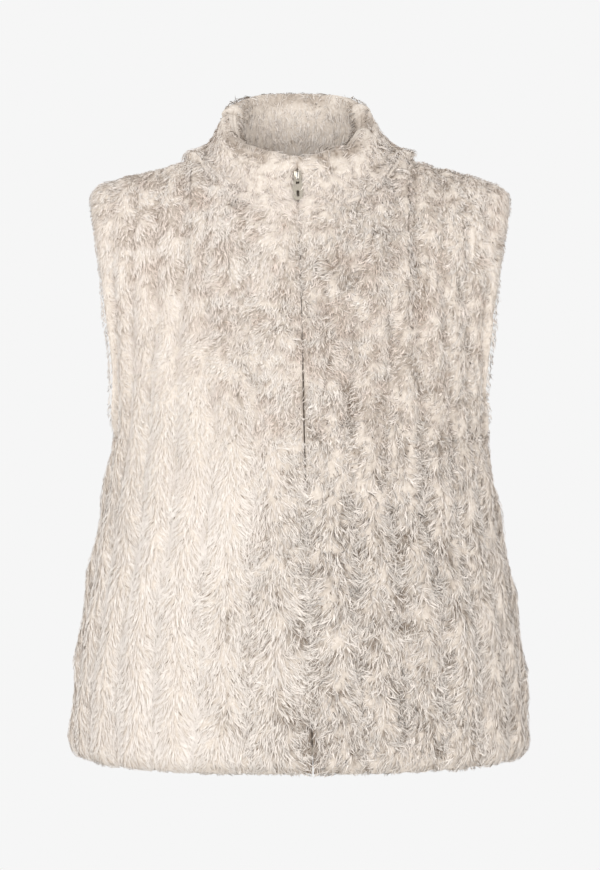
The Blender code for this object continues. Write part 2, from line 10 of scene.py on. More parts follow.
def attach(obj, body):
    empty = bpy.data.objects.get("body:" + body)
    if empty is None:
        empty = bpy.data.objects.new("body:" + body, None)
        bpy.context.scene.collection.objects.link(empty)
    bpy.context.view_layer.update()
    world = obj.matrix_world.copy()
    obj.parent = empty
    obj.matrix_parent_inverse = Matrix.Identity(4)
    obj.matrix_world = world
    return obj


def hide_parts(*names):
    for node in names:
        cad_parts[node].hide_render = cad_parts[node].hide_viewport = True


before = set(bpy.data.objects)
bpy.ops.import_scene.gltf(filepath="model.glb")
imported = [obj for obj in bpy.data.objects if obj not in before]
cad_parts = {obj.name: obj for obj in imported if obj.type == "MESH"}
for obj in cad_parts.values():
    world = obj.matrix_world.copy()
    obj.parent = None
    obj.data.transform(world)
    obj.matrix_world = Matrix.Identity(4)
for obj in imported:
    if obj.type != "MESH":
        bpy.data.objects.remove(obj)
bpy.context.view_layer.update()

# The cut of the body: two fronts and a back, cut from knitted fur cloth.
# Each is read at u, from 0 at its middle to 1 at the side seam, and v, from 0 at the hem
# over 1 at the underarm to 2 at the neck and shoulder seams. Metres, on the inside of the cloth.
SECTIONS = np.array(
    [
        # height, half width, front depth, back depth
        (-0.615, 0.2280, 0.138, 0.128),
        (-0.540, 0.2235, 0.135, 0.124),
        (-0.450, 0.2120, 0.129, 0.117),
        (-0.360, 0.1950, 0.124, 0.111),
        (-0.275, 0.1810, 0.122, 0.108),
    ]
)
HEIGHT, HALF_WIDTH, FRONT_DEPTH, BACK_DEPTH = range(4)
SECTION_POWER = 0.93
HEM_HEIGHT, HEM_SIDE_RISE, UNDERARM_HEIGHT = -0.604, 0.003, -0.275
NECK_HALF_WIDTH, NECK_MIDDLE = 0.104, 0.004
NECK_FRONT_DEPTH, NECK_BACK_DEPTH = 0.081, 0.084
NECK_POINT_HEIGHT = 0.003
NECK_FRONT_DROP, NECK_BACK_DROP, NECK_CURVE = 0.052, -0.010, 1.4
NECK_SHARE = 8 / 21
SHOULDER_TIP_X, SHOULDER_DROP, SHOULDER_CURVE = 0.2125, 0.029, 0.75
TIP_ROUNDING, TIP_CURVE = 0.007, 8
ARMHOLE_SWELL, ARMHOLE_FORWARD, ARMHOLE_BACKWARD = 0.005, 0.052, 0.050
ARMHOLE_RISE, ARMHOLE_ROUNDNESS, ARMHOLE_SPREAD, UNDERARM_SPREAD = 0.62, 0.75, 2, 5
FRONT_ARRIVAL, BACK_ARRIVAL = math.radians(70), math.radians(60)
RIM_HALF_WIDTH, RIM_HALF_DEPTH, RIM_MIDDLE = 0.0695, 0.069, 0.005
RIM_HEIGHT, RIM_TILT = 0.044, 0.036
RIM_FLATNESS_FRONT, RIM_FLATNESS_BACK, COLLAR_WAIST = 0.35, 0.65, 0.004
LEAN_TOP, LEAN_HEM = -0.003, 0.013
ZIP_GAP_BODY, ZIP_GAP_RIM, ZIP_GAP_WIDENS = 0.0034, 0.0048, 0.11
QUARTER = math.pi / 2
FRONT, BACK = -1, 1
LEFT, RIGHT = 1, -1


def between(low, high, share):
    return low + (high - low) * share


def eased(share):
    """A soft step from 0 to 1. eased((z - start) / width) blends in over a band, in metres."""
    share = np.clip(share, 0.0, 1.0)
    return share * share * (3 - 2 * share)


def unit(vectors):
    return vectors / np.maximum(np.linalg.norm(vectors, axis=-1, keepdims=True), 1e-9)


def powered(value, power):
    return np.sign(value) * np.abs(value) ** power


def section(column, height):
    """A column of SECTIONS at any height, along a smooth curve through its rows."""
    heights, values = SECTIONS[:, HEIGHT], SECTIONS[:, column]
    climbs = np.gradient(values, heights)
    height = np.clip(height, heights[0], heights[-1])
    low = np.clip(np.searchsorted(heights, height) - 1, 0, len(heights) - 2)
    high = low + 1
    span = heights[high] - heights[low]
    s = (height - heights[low]) / span
    return (
        (2 * s**3 - 3 * s**2 + 1) * values[low]
        + (s**3 - 2 * s**2 + s) * span * climbs[low]
        + (3 * s**2 - 2 * s**3) * values[high]
        + (s**3 - s**2) * span * climbs[high]
    )


def lean(height):
    rim_front = RIM_HEIGHT - RIM_TILT
    return between(LEAN_TOP, LEAN_HEM, (rim_front - height) / (rim_front - HEM_HEIGHT))


def zip_gap(height):
    wide = 1 - np.clip((RIM_HEIGHT - RIM_TILT - height) / ZIP_GAP_WIDENS, 0, 1)
    return between(ZIP_GAP_BODY, ZIP_GAP_RIM, wide)


def front_shift(share, height, side):
    near = np.clip(1 - share, 0, None)
    return lean(height) * near**2 + side * zip_gap(height) * near**3


def neck_seam(turn, side):
    front = np.cos(turn) > 0
    depth = np.where(front, NECK_FRONT_DEPTH, NECK_BACK_DEPTH)
    drop = np.where(front, NECK_FRONT_DROP, NECK_BACK_DROP)
    height = NECK_POINT_HEIGHT - drop * np.abs(np.cos(turn)) ** NECK_CURVE
    x = side * NECK_HALF_WIDTH * np.sin(turn)
    x = x + np.where(front, front_shift(turn / QUARTER, height, side), 0)
    return np.stack([x, NECK_MIDDLE - depth * np.cos(turn), height], -1)


def top_edge(u, side, face):
    turn = np.clip(u / NECK_SHARE, None, 1) * QUARTER
    neck = neck_seam(turn if face == FRONT else math.pi - turn, side)
    out = np.clip((u - NECK_SHARE) / (1 - NECK_SHARE), 0, None)
    drop = SHOULDER_DROP * out**SHOULDER_CURVE + TIP_ROUNDING * out**TIP_CURVE
    x = side * between(NECK_HALF_WIDTH, SHOULDER_TIP_X, out)
    shoulder = np.stack([x, NECK_MIDDLE + 0 * out, NECK_POINT_HEIGHT - drop], -1)
    return np.where((u < NECK_SHARE)[..., None], neck, shoulder)


def ring_point(u, height, side, face):
    angle = u * QUARTER
    depth = section(FRONT_DEPTH if face == FRONT else BACK_DEPTH, height)
    x = side * section(HALF_WIDTH, height) * powered(np.sin(angle), SECTION_POWER)
    y = face * depth * powered(np.cos(angle), SECTION_POWER)
    if face == FRONT:
        x = x + front_shift(u / NECK_SHARE, height, side)
    return np.stack([x, y, height + 0 * x], -1)


def panel_point(u, v, side, face):
    u, v = np.broadcast_arrays(np.asarray(u, float), np.asarray(v, float))
    hem = HEM_HEIGHT + HEM_SIDE_RISE * np.sin(u * QUARTER) ** 2
    low = ring_point(u, between(hem, UNDERARM_HEIGHT, np.clip(v, 0, 1)), side, face)
    climb = np.clip(v - 1, 0, 1)
    arrival = between(
        FRONT_ARRIVAL if face == FRONT else BACK_ARRIVAL, QUARTER, eased(u / NECK_SHARE)
    )
    back = (1 - np.cos(climb * arrival)) / (1 - np.cos(arrival))
    up = np.sin(climb * arrival) / np.sin(arrival)
    goal = top_edge(u, side, face)
    shares = np.stack([climb, back, up], -1)
    high = between(low, goal, shares)
    reach = ARMHOLE_FORWARD if face == FRONT else ARMHOLE_BACKWARD
    bow = np.abs(np.sin(math.pi * climb**ARMHOLE_RISE)) ** ARMHOLE_ROUNDNESS
    spread = ARMHOLE_SPREAD + UNDERARM_SPREAD * (1 - climb) ** 4
    high[..., 1] += face * reach * bow * np.abs(u) ** spread
    high[..., 0] += side * ARMHOLE_SWELL * np.sin(math.pi * climb**2) * u**2
    return np.where((v > 1)[..., None], high, low)


def rim(turn, side):
    cosine = np.cos(turn)
    flatness = np.where(cosine > 0, RIM_FLATNESS_FRONT, RIM_FLATNESS_BACK)
    height = RIM_HEIGHT - RIM_TILT * cosine * (1 + flatness * (1 - np.abs(cosine)))
    near = np.where(cosine > 0, 1 - turn / QUARTER, 0)
    x = LEAN_TOP + side * (RIM_HALF_WIDTH * np.sin(turn) + zip_gap(height) * near**3)
    return np.stack([x, RIM_MIDDLE - RIM_HALF_DEPTH * np.cos(turn), height], -1)


def collar_point(turn, share, side):
    """A point of the collar, at a turn from 0 at the zip to pi at the back, and a share of its height."""
    turn, share = np.broadcast_arrays(turn, share)
    low, high = neck_seam(turn, side), rim(turn, side)
    point = between(low, high, share[..., None])
    inward = np.stack([-side * np.sin(turn), np.cos(turn), 0 * turn], -1)
    return point + inward * (COLLAR_WAIST * np.sin(math.pi * share))[..., None]


# Fur cloth, sewn edge to edge: a knitted polyester ground 1.6 mm thick, a dense undercoat of
# short crimped fibre on it, and the long pile. The pile stands 9 to 16 mm high in ribs with
# channels between them, thins towards free edges, and closes over the zip below its slider.
GROUND_THICK = 0.0016
LOWER_LENGTH, UPPER_LENGTH = 0.33, 0.24
SIDE_WIDTH, FRONT_WIDTH, COAT_WIDTH = 0.19, 0.28, 0.26
PILE, RIB_RISE, RIB_AT_SHOULDER, RIB_ROUNDNESS, RIBS = 0.0092, 0.0054, 0.45, 0.7, 7
RIB_SWELL, SWELL_LENGTH, RIB_OFFSET = 0.30, 0.088, 2.4
MEANDER, MEANDER_LENGTH, MEANDER_TURNS = 0.010, 0.23, 9.0
ROUND_EDGE, FREE_EDGE_PILE, SEAM_PILE, TOP_SEAM_PILE = 0.013, 0.0052, 0.0086, 0.0116
ZIP_EDGE_PILE, ZIP_CLOSED_PILE, ZIP_CLOSING = 0.0044, 0.0098, 0.014
NECK_FILL, CORNER_FILL, CORNER, SEAM_LIT_AS_ONE = 0.0045, 0.9, 0.06, 0.016
EDGE_BEND, EDGE_CURL, EDGE_SHORTER = 0.004, 0.22, 0.35
UNDERCOAT_SMOOTH, UNDERCOAT_PARTED, TUCKED = 0.89, 0.62, 0.1
PUFF_WIDE, PUFF_FINE, PUFF_TALLER, PUFF_BEND = 0.026, 0.011, 0.62, 0.006
U_STEP, V_STEP, BODY_TOP_READ = 0.02, 0.01, 1.92
SIDE_KEPT, MIDDLE_KEPT, BODY_READS = 1.03, -0.05, (181, 301)


def zip_cover(height):
    """How far the fur closes over the zip: not at the slider, and less at two lower places."""
    at_slider = eased((height + 0.038) / 0.005) * eased((-0.002 - height) / 0.003)
    below_chest = eased((height + 0.35) / 0.07) * eased((-0.16 - height) / 0.06)
    at_hem = eased((-0.55 - height) / 0.015)
    return 1 - 0.75 * at_slider - 0.20 * below_chest - 0.24 * at_hem


def rounded_off(pile, edge_pile, distance):
    share = np.clip(distance / ROUND_EDGE, 0, 1)
    return between(edge_pile, pile, np.sqrt(1 - (1 - share) ** 2))


def rib_share(u, v):
    """Where a point lies between two channels, from 0 to 1, and the number of its rib."""
    away = np.clip(np.sin(math.pi * u), 0, None) ** 0.5 * eased((2 - v) / 0.4)
    wander = np.sin(2 * math.pi * v * LOWER_LENGTH / MEANDER_LENGTH + MEANDER_TURNS * u)
    place = np.clip(u - MEANDER * away * wander, 0, 1) * RIBS
    rib = np.floor(np.clip(place, 0, RIBS - 1e-6))
    return place - rib, rib


def in_channel(u, v, width):
    """1 in the channels between the ribs, fading out over a share of a rib's width."""
    share, _ = rib_share(u, v)
    return np.exp(-((np.minimum(share, 1 - share) / width) ** 2))


def body_pile(u, v, side, face):
    share, rib = rib_share(u, v)
    crown = np.clip(4 * share * (1 - share), 0, 1) ** RIB_ROUNDNESS
    wave = 2 * math.pi * v * LOWER_LENGTH / SWELL_LENGTH
    swell = 1 + RIB_SWELL * np.sin(wave + RIB_OFFSET * rib + side)
    rise = RIB_RISE * between(1, RIB_AT_SHOULDER, eased(v - 1))
    height = panel_point(u, v, side, face)[..., 2]
    open_edge = between(SEAM_PILE, FREE_EDGE_PILE, eased((v - 0.96) / 0.2))
    pile = rounded_off(PILE + rise * crown * swell, TOP_SEAM_PILE, (2 - v) * UPPER_LENGTH)
    at_neck = 1 - eased((u - NECK_SHARE) / 0.08)
    at_corner = 1 + CORNER_FILL * eased((u - 0.45 * NECK_SHARE) / (0.4 * NECK_SHARE))
    pile += NECK_FILL * at_neck * at_corner * (1 - eased((2 - v) / 0.12))
    pile = rounded_off(pile, open_edge, (1 - np.abs(u)) * SIDE_WIDTH)
    pile = rounded_off(pile, FREE_EDGE_PILE, height - HEM_HEIGHT)
    if face == FRONT:
        edge = between(ZIP_EDGE_PILE, ZIP_CLOSED_PILE, zip_cover(height))
        pile = rounded_off(pile, edge, u * FRONT_WIDTH)
    return pile


def slopes(point, u, v, v_ends):
    """A surface's changes for each unit of u and of v, read a few millimetres wide."""
    inside = np.clip(v, v_ends[0] + V_STEP, v_ends[1] - V_STEP)
    across = point(u + U_STEP, inside) - point(u - U_STEP, inside)
    along = point(u, inside + V_STEP) - point(u, inside - V_STEP)
    return across / (2 * U_STEP), along / (2 * V_STEP)


def panel_out(u, v, side, face):
    across, along = slopes(lambda a, b: panel_point(a, b, side, face), u, v, (0, BODY_TOP_READ))
    return unit(np.cross(across, along)) * -side * face


def collar_out(turn, share, side):
    point = lambda a, b: collar_point(a * math.pi, b, side)
    across, along = slopes(point, turn / math.pi, share, (-1, 1))
    return unit(np.cross(across, along)) * side


def body_out(u, v, side, face):
    """Outward directions of a panel, which turn at its top edge to halve the angle of the seam."""
    own = panel_out(u, v, side, face)
    turn = np.clip(u / NECK_SHARE, None, 1) * QUARTER
    collar = collar_out(turn if face == FRONT else math.pi - turn, 0 * u, side)
    other = panel_out(u, 0 * v + 2, side, -face)
    at_collar = 1 - eased((u - NECK_SHARE) / CORNER)[..., None]
    at_shoulder = eased((u - NECK_SHARE) / CORNER + 1)[..., None]
    shared = unit(own + collar * at_collar + other * at_shoulder)
    return unit(between(own, shared, eased((v - 1.86) / 0.14)[..., None]))


def drift(points, size, seed):
    """Smooth noise from -1 to 1 whose lumps are about size across."""
    table = np.random.default_rng(seed).uniform(-1, 1, 4096)
    place = np.asarray(points).reshape(-1, 3) / size
    cell = np.floor(place).astype(np.int64)
    part = place - cell
    part = part * part * (3 - 2 * part)
    total = np.zeros(len(place))
    for corner in np.ndindex(2, 2, 2):
        key = cell + corner
        index = (key[:, 0] * 73856093 ^ key[:, 1] * 19349663 ^ key[:, 2] * 83492791) & 4095
        weight = np.prod(np.where(np.array(corner) == 1, part, 1 - part), axis=1)
        total += table[index] * weight
    return total.reshape(np.asarray(points).shape[:-1])


def puffs(points):
    """Rounded puffs that meet in creases: 0 in a crease and about 1 on a puff."""
    tall = np.asarray(points) * (1, 1, PUFF_TALLER)
    bent = tall + PUFF_BEND * np.stack([drift(tall, 0.03, seed) for seed in (43, 44, 45)], -1)
    wide, fine = np.abs(drift(bent, PUFF_WIDE, 41)), np.abs(drift(bent, PUFF_FINE, 42))
    return np.clip(2.2 * wide, 0, 1) ** 0.7 * 0.30 + np.clip(2.2 * fine, 0, 1) ** 0.7 * 0.70


def on_chest(points):
    """1 on the chest, fading unevenly to 0 below it, and sooner on the wearer's right side."""
    foot = 0.37 - 0.12 * eased((-0.04 - points[..., 0]) / 0.08) + 0.03 * drift(points, 0.05, 55)
    return eased((points[..., 2] + foot) / 0.17)


def parting(points):
    """How deeply the pile parts: little on the wearer's right side, much on the left."""
    x, y, z = np.moveaxis(points, -1, 0)
    front = 0.10 + 0.90 * eased((x + 0.11) / 0.17)
    chest = 0.5 * on_chest(points) * eased((-0.03 - z) / 0.06) * eased((x + 0.17) / 0.07)
    top = 0.6 * eased((z + 0.10) / 0.06)
    whole = between(np.maximum(front, np.maximum(chest, top)), 0.55, eased((y + 0.05) / 0.1))
    at_edge = eased((x - 0.155) / 0.04) * (y < 0)
    return np.clip((whole + 0.22 * drift(points, 0.07, 46)) * (1 - 0.55 * at_edge), 0.06, 1)


def tufted(points):
    """How high the tufts stand around a place, as a share of the pile's mean depth."""
    return 1.02 + between(0.06, 0.17, parting(points)) * (puffs(points) - 0.72)


def crinkled(points):
    """Small patches on the chest where the fibre is crimped and shows its rosy brown roots."""
    x, y, z = np.moveaxis(points, -1, 0)
    chest = on_chest(points) * eased((0.02 - z) / 0.05) * eased((x + 0.215) / 0.06)
    shoulder = 0.35 * eased((-0.09 - x) / 0.05) * eased((z + 0.20) / 0.06)
    patches = drift(points, 0.008, 51) * 1.6 + 0.5 * drift(points, 0.04, 54) + 0.25 + shoulder
    return eased(patches) * chest * (y < 0)


def body_roots_and_shade(u, v, points):
    """How dark the fur is between its tufts: its brown roots where the pile parts and on the chest, and
    painted shade in the channels and in the creases where tufts meet, more of both lower down.
    """
    channel = in_channel(u, v, 0.14)
    crease = 1 - eased(puffs(points) / 0.68)
    broken = eased(drift(points, 0.06, 52) + 0.5)
    low = 1.2 + 0.3 * eased((-0.32 - points[..., 2]) / 0.12)
    # The crease and channel terms are painted shade; the rest is the brown of the roots where the pile
    # parts.
    found = parting(points) * (0.14 + 0.55 * crease + 0.22 * channel * broken) * low
    found *= between(0.2, 1, eased((2 - v) / 0.1))
    return np.clip(np.maximum(found, 0.40 * crinkled(points)), 0, 1)


def wide_slope(grid, places, axis, reach):
    """A grid's change for each unit of u or v, read over a few cells on each side."""
    ahead = np.minimum(np.arange(len(places)) + reach, len(places) - 1)
    behind = np.maximum(np.arange(len(places)) - reach, 0)
    shape = [1, 1, 1]
    shape[axis] = -1
    span = (places[ahead] - places[behind]).reshape(shape)
    return (np.take(grid, ahead, axis) - np.take(grid, behind, axis)) / span


FIELDS = {"base": slice(0, 3), "out": slice(3, 6), "facing": slice(6, 9)}
FIELDS |= {"across": slice(9, 12), "along": slice(12, 15)}
FIELDS |= {"depth": slice(15, 16), "deep": slice(16, 17), "parting": slice(17, 18)}


def surveyed(half):
    """Reads one half of the fur on a fine grid, which its undercoat and its locks look up."""
    us, vs = (np.linspace(*half[span]) for span in ("u_span", "v_span"))
    u, v = np.meshgrid(us, vs)
    base, out = half["point"](u, v), half["out"](u, v)
    depth = half["pile"](np.clip(u, 0, 1), np.clip(v, 0, None)) * tufted(base)
    crown = base + out * depth[..., None]
    facing = np.cross(wide_slope(crown, us, 1, 3), wide_slope(crown, vs, 0, 2)) * half["flip"]
    # Two cloths share their directions at a seam, so the pile is lit there as one.
    at_seam = 1 - eased(half["from_seam"](u, v) / SEAM_LIT_AS_ONE)
    facing = between(unit(facing), out, at_seam[..., None])
    across, along = wide_slope(base, us, 1, 3), wide_slope(base, vs, 0, 2)
    last = np.stack([depth, half["deep"](u, v, base), parting(base)], -1)
    fields = np.concatenate([base, out, unit(facing), across, along, last], axis=-1)
    return {**half, "us": us, "vs": vs, "fields": fields}


def looked_up(half, u, v):
    """The surveyed fields at any u, v."""
    found = []
    for places, value in ((half["us"], u), (half["vs"], v)):
        place = (value - places[0]) / (places[1] - places[0])
        cell = np.clip(np.floor(place).astype(int), 0, len(places) - 2)
        found += [cell, np.clip(place - cell, 0, 1)[..., None]]
    column, aside, row, up = found
    fields = half["fields"]
    low = between(fields[row, column], fields[row, column + 1], aside)
    high = between(fields[row + 1, column], fields[row + 1, column + 1], aside)
    read = between(low, high, up)
    return {name: read[..., part] for name, part in FIELDS.items()}


def risen(half, u, v, share, lean_over=0.0):
    """The fields at u, v, the point at a share of the pile's depth, and how far it turns there.

    Past the zip the pile goes straight on. Past a free edge it turns round the edge and gets shorter.
    """
    inside_u, inside_v = half["kept"](u, v)
    read = looked_up(half, inside_u, inside_v)
    aside = (u - inside_u) * np.where(u < 0, zip_cover(read["base"][..., 2]), 1)
    crossed = read["across"] * np.where(u < 0, aside, 0)[..., None]
    over = read["across"] * np.where(u < 0, 0, aside)[..., None]
    over += read["along"] * (v - inside_v)[..., None]
    beyond = np.linalg.norm(over, axis=-1, keepdims=True)
    turned = lean_over + over / EDGE_BEND - read["out"] * beyond * EDGE_CURL / EDGE_BEND
    lift = unit(read["out"] + turned)
    height = read["depth"] * share[..., None] * (1 - EDGE_SHORTER * beyond / (beyond + EDGE_BEND))
    return read, read["base"] + crossed + lift * height, turned


def drawn_together(place, from_zip, side):
    """Moves points to the zip's middle, where the fur of the two sides closes over the zip."""
    height = place[..., 2]
    near = 1 - eased(from_zip / ZIP_CLOSING)
    place[..., 0] -= side * zip_gap(height) * zip_cover(height) * near
    return place


def body_half(side, face):
    """One half of the body's fur: its points, directions, pile, limits and borders."""
    first = 0 if face == FRONT else MIDDLE_KEPT

    def point(u, v):
        place = panel_point(u, v, side, face)
        return drawn_together(place, u * FRONT_WIDTH, side) if face == FRONT else place

    def kept(u, v):
        return np.clip(u, first, np.where(v < 1, SIDE_KEPT, 1.0)), np.clip(v, 0, 2)

    def spread(u, v):
        """Carries the outermost roots a few millimetres round the armhole and the hem."""
        armhole = 0.022 * eased((u - 0.93) / 0.07) * eased((v - 1) / 0.04)
        return np.stack([u + armhole, v - 0.012 * eased((0.05 - v) / 0.05)], -1)

    def borders(u, v, read):
        """Each border's direction, distance, lean over its edge, and share of locks that cross it."""
        width, height = (np.linalg.norm(read[name], axis=-1) for name in ("across", "along"))
        aside, up = unit(read["across"]), unit(read["along"])
        open_side = eased((v - 0.97) / 0.05)
        found = [
            (aside, (1 - u) * width, 0.7 * open_side, 0.2 + 0.25 * open_side),
            (-up, v * height, 0.6 + 0 * u, 0 * u),
            (up, (2 - v) * height, 0 * u, 0.4 + 0 * u),
        ]
        if face == FRONT:
            closed = between(0.15, 1, eased((zip_cover(read["base"][..., 2]) - 0.80) / 0.2))
            found.append((-aside, u * width, 0 * u, 0.6 * closed))
        return found

    half = {"point": point, "kept": kept, "spread": spread, "borders": borders}
    half["flip"] = -side * face
    half["from_seam"] = lambda u, v: (2 - v) * UPPER_LENGTH
    half["cloth"] = lambda u, v: panel_point(u, v, side, face)
    half["out"] = lambda u, v: body_out(u, v, side, face)
    half["pile"] = lambda u, v: body_pile(u, v, side, face)
    half["deep"] = body_roots_and_shade
    half["u_span"], half["v_span"] = (first, SIDE_KEPT, BODY_READS[0]), (0, 2, BODY_READS[1])
    return surveyed(half)


def linear(code):
    """An sRGB hex colour as linear red, green and blue."""
    shares = [int(code[i : i + 2], 16) / 255 for i in (1, 3, 5)]
    return tuple(s / 12.92 if s <= 0.04045 else ((s + 0.055) / 1.055) ** 2.4 for s in shares)


def node(tree, kind, inputs=(), links=(), stops=(), **settings):
    """Adds a node with its settings, constant inputs, links and colour stops.

    A link is (input, source node, its output), and a stop is (place, hex colour).
    """
    made = tree.nodes.new(kind)
    for name, value in settings.items():
        setattr(made, name, value)
    for name, value in dict(inputs).items():
        made.inputs[name].default_value = value
    for name, source, output in links:
        tree.links.new(source.outputs[output], made.inputs[name])
    for _ in stops[2:]:
        made.color_ramp.elements.new(0.5)
    for i, (place, code) in enumerate(stops):
        made.color_ramp.elements[i].position = place
        made.color_ramp.elements[i].color = (*linear(code), 1)
    return made


def new_material(name, shader_inputs):
    made = bpy.data.materials.new(name)
    made.use_nodes = True
    shader = made.node_tree.nodes["Principled BSDF"]
    for socket, value in shader_inputs.items():
        shader.inputs[socket].default_value = value
    return made, made.node_tree, shader


def finish(tree, shader, tone, output, bump_source, strength, depth):
    """Links a colour and a bump to the shader."""
    tree.links.new(tone.outputs[output], shader.inputs["Base Color"])
    settings = {"Strength": strength, "Distance": depth}
    bump = node(tree, "ShaderNodeBump", settings, [("Height", bump_source, "Fac")])
    tree.links.new(bump.outputs["Normal"], shader.inputs["Normal"])


def mottled(name, shader_inputs, colours, patches, grain, strength, depth):
    """A material of two colours in soft patches, with a fine grain as its bump.

    patches and grain are (cells a metre, detail, roughness) of their noise.
    """
    made, tree, shader = new_material(name, shader_inputs)
    place = node(tree, "ShaderNodeTexCoord")
    patches, grain = (
        node(tree, "ShaderNodeTexNoise", dict(zip(NOISE, values)), [("Vector", place, "Object")])
        for values in (patches, grain)
    )
    stops = list(zip(MOTTLED, colours))
    tone = node(tree, "ShaderNodeValToRGB", links=[("Fac", patches, "Fac")], stops=stops)
    finish(tree, shader, tone, "Color", grain, strength, depth)
    return made


# The settings of a noise, the places of its two colours, and the sockets of a colour mix.
NOISE, MOTTLED = ("Scale", "Detail", "Roughness"), (0.3, 0.7)
FACTOR, FIRST, SECOND, RESULT = 0, 6, 7, 2

# Warp-knitted polyester: a dull taupe cloth whose loops are 1.2 mm wide, drawn at 2.4 mm.
knit = mottled(
    "knitted_polyester_ground",
    {"Roughness": 0.92, "Specular IOR Level": 0.2, "Sheen Weight": 0.15},
    ("#a8988a", "#c4b5a6"), (14.0, 3.0, 0.5), (420.0, 2.0, 0.6), 0.35, 0.0006,
)

# Undercoat: fine crimped modacrylic, matted to a felt between the locks, brown where it parts, and
# darkened as painted shade in the creases between tufts and in the channels.
undercoat, tree, shader = new_material(
    "crimped_modacrylic_undercoat",
    {"Roughness": 0.85, "Specular IOR Level": 0.2, "Sheen Weight": 0.1},
)
place = node(tree, "ShaderNodeTexCoord")
settings = dict(zip(NOISE, (300.0, 3.0, 0.65)))
matting = node(tree, "ShaderNodeTexNoise", settings, [("Vector", place, "Object")])
strand = node(tree, "ShaderNodeAttribute", attribute_name="strand")
pale, dark = (
    node(tree, "ShaderNodeValToRGB", (), [("Fac", matting, "Fac")], list(zip(MOTTLED, colours)))
    for colours in (("#cdc1b4", "#e4dbd1"), ("#6f5f51", "#a39282"))
)
# The mix towards the dark colours carries the brown roots and the painted shade.
mixed = [(FACTOR, strand, "Alpha"), (FIRST, pale, "Color"), (SECOND, dark, "Color")]
tone = node(tree, "ShaderNodeMix", links=mixed, data_type="RGBA")
finish(tree, shader, tone, RESULT, matting, 0.9, 0.001)


def vest_piece(name, mesh):
    piece = bpy.data.objects.new(name, mesh)
    bpy.context.scene.collection.objects.link(piece)
    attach(piece, "vest")
    return piece


def closed_mesh(name, vertices, faces, made):
    """A mesh of one material whose faces point outwards."""
    mesh = bpy.data.meshes.new(name)
    mesh.from_pydata(vertices, [], faces)
    shape = bmesh.new()
    shape.from_mesh(mesh)
    bmesh.ops.recalc_face_normals(shape, faces=shape.faces)
    shape.to_mesh(mesh)
    shape.free()
    mesh.materials.append(made)
    return mesh


def quads(rows, columns):
    """The faces of a grid of points, and the points around its border."""
    at = np.arange(rows * columns).reshape(rows, columns)
    corners = (at[:-1, :-1], at[:-1, 1:], at[1:, 1:], at[1:, :-1])
    border = np.concatenate([at[0, :-1], at[:-1, -1], at[-1, :0:-1], at[:0:-1, 0]])
    return np.stack(corners, -1).reshape(-1, 4), border


def thin_wall(name, lower, upper, made, slot):
    """A closed thin cloth between two grids of points."""
    sheet, border = quads(*lower.shape[:2])
    layer = lower.shape[0] * lower.shape[1]
    after = np.roll(border, -1)
    edge = np.stack([border, after, after + layer, border + layer], -1)
    faces = np.concatenate([sheet + layer, sheet[:, [0, 3, 2, 1]], edge]).tolist()
    mesh = closed_mesh(name, np.concatenate([lower, upper]).reshape(-1, 3), faces, made)
    mesh.shade_smooth()
    return vest_piece(name, mesh)


def carry_strand(mesh, strand):
    """Gives each point the four numbers that the fur's materials read."""
    layer = mesh.color_attributes.new("strand", "FLOAT_COLOR", "POINT")
    layer.data.foreach_set("color", strand.ravel())


def felted_sheet(name, grid, deep, flip, slot):
    """The undercoat's outside, carrying how dark it is at each point: its brown roots and painted shade.
    """
    faces = quads(*grid.shape[:2])[0][:, :: 1 if flip > 0 else -1]
    mesh = bpy.data.meshes.new(name)
    mesh.from_pydata(grid.reshape(-1, 3), [], faces.tolist())
    strand = np.ones((deep.size, 4))
    strand[:, 3] = deep.ravel()
    carry_strand(mesh, strand)
    mesh.materials.append(undercoat)
    mesh.shade_smooth()
    return vest_piece(name, mesh)


def past(edge, length):
    """Places past an edge at which the undercoat turns round it. The last is there twice."""
    return edge + np.sign(edge - 0.5) * np.array([0.0012, 0.0045, 0.012, 0.03, 0.03]) / length


def laid_out(half, us, vs, tucked):
    """Grids of the undercoat's points and tone. The tucked rows and columns go down to the cloth."""
    u, v = np.meshgrid(us, vs)
    u = np.where((v < 1) & (u > 1) & (vs[-1] > 2), 1 + (u - 1) * 0.15, u)
    deep = looked_up(half, *half["kept"](u, v))["deep"][..., 0]
    share = between(UNDERCOAT_SMOOTH, UNDERCOAT_PARTED, eased(deep * 1.4))
    for edge in tucked:
        share[edge] = TUCKED
    return risen(half, u, v, share)[1], deep


def sewn(halves):
    """Joins the grids of a left and a right half at the back's middle."""
    return [np.concatenate([left[:, :0:-1], right], axis=1) for left, right in zip(*halves)]


def cloth_walls(half, us, vs):
    u, v = np.meshgrid(us, vs)
    inside = half["cloth"](u, v)
    return inside, inside + half["out"](u, v) * GROUND_THICK


us, vs = np.linspace(0, 1, 91), np.linspace(0, 2, 151)
coat_us = np.concatenate([us, past(1, COAT_WIDTH)])
coat_vs = np.concatenate([past(0, LOWER_LENGTH)[::-1], vs, past(2, UPPER_LENGTH)[:2]])
halves = {(side, face): body_half(side, face) for side in (LEFT, RIGHT) for face in (FRONT, BACK)}
grounds, coats = {}, {}
for name, side in (("front_left", LEFT), ("front_right", RIGHT)):
    half = halves[side, FRONT]
    with_zip_edge = np.concatenate([[0], coat_us])
    coat = laid_out(half, with_zip_edge, coat_vs, [np.s_[:, 0], np.s_[:, -1], np.s_[0]])
    grounds[name] = thin_wall(name + "_ground", *cloth_walls(half, us[::3], vs[::3]), knit, "fur")
    coats[name] = felted_sheet(name + "_undercoat", *coat, side, "fur")
backs = [halves[side, BACK] for side in (LEFT, RIGHT)]
walls = sewn([cloth_walls(half, us[::3], vs[::3]) for half in backs])
grounds["back"] = thin_wall("back_ground", *walls, knit, "fur")
coat = sewn([laid_out(half, coat_us, coat_vs, [np.s_[:, -1], np.s_[0]]) for half in backs])
coats["back"] = felted_sheet("back_undercoat", *coat, -1, "fur")

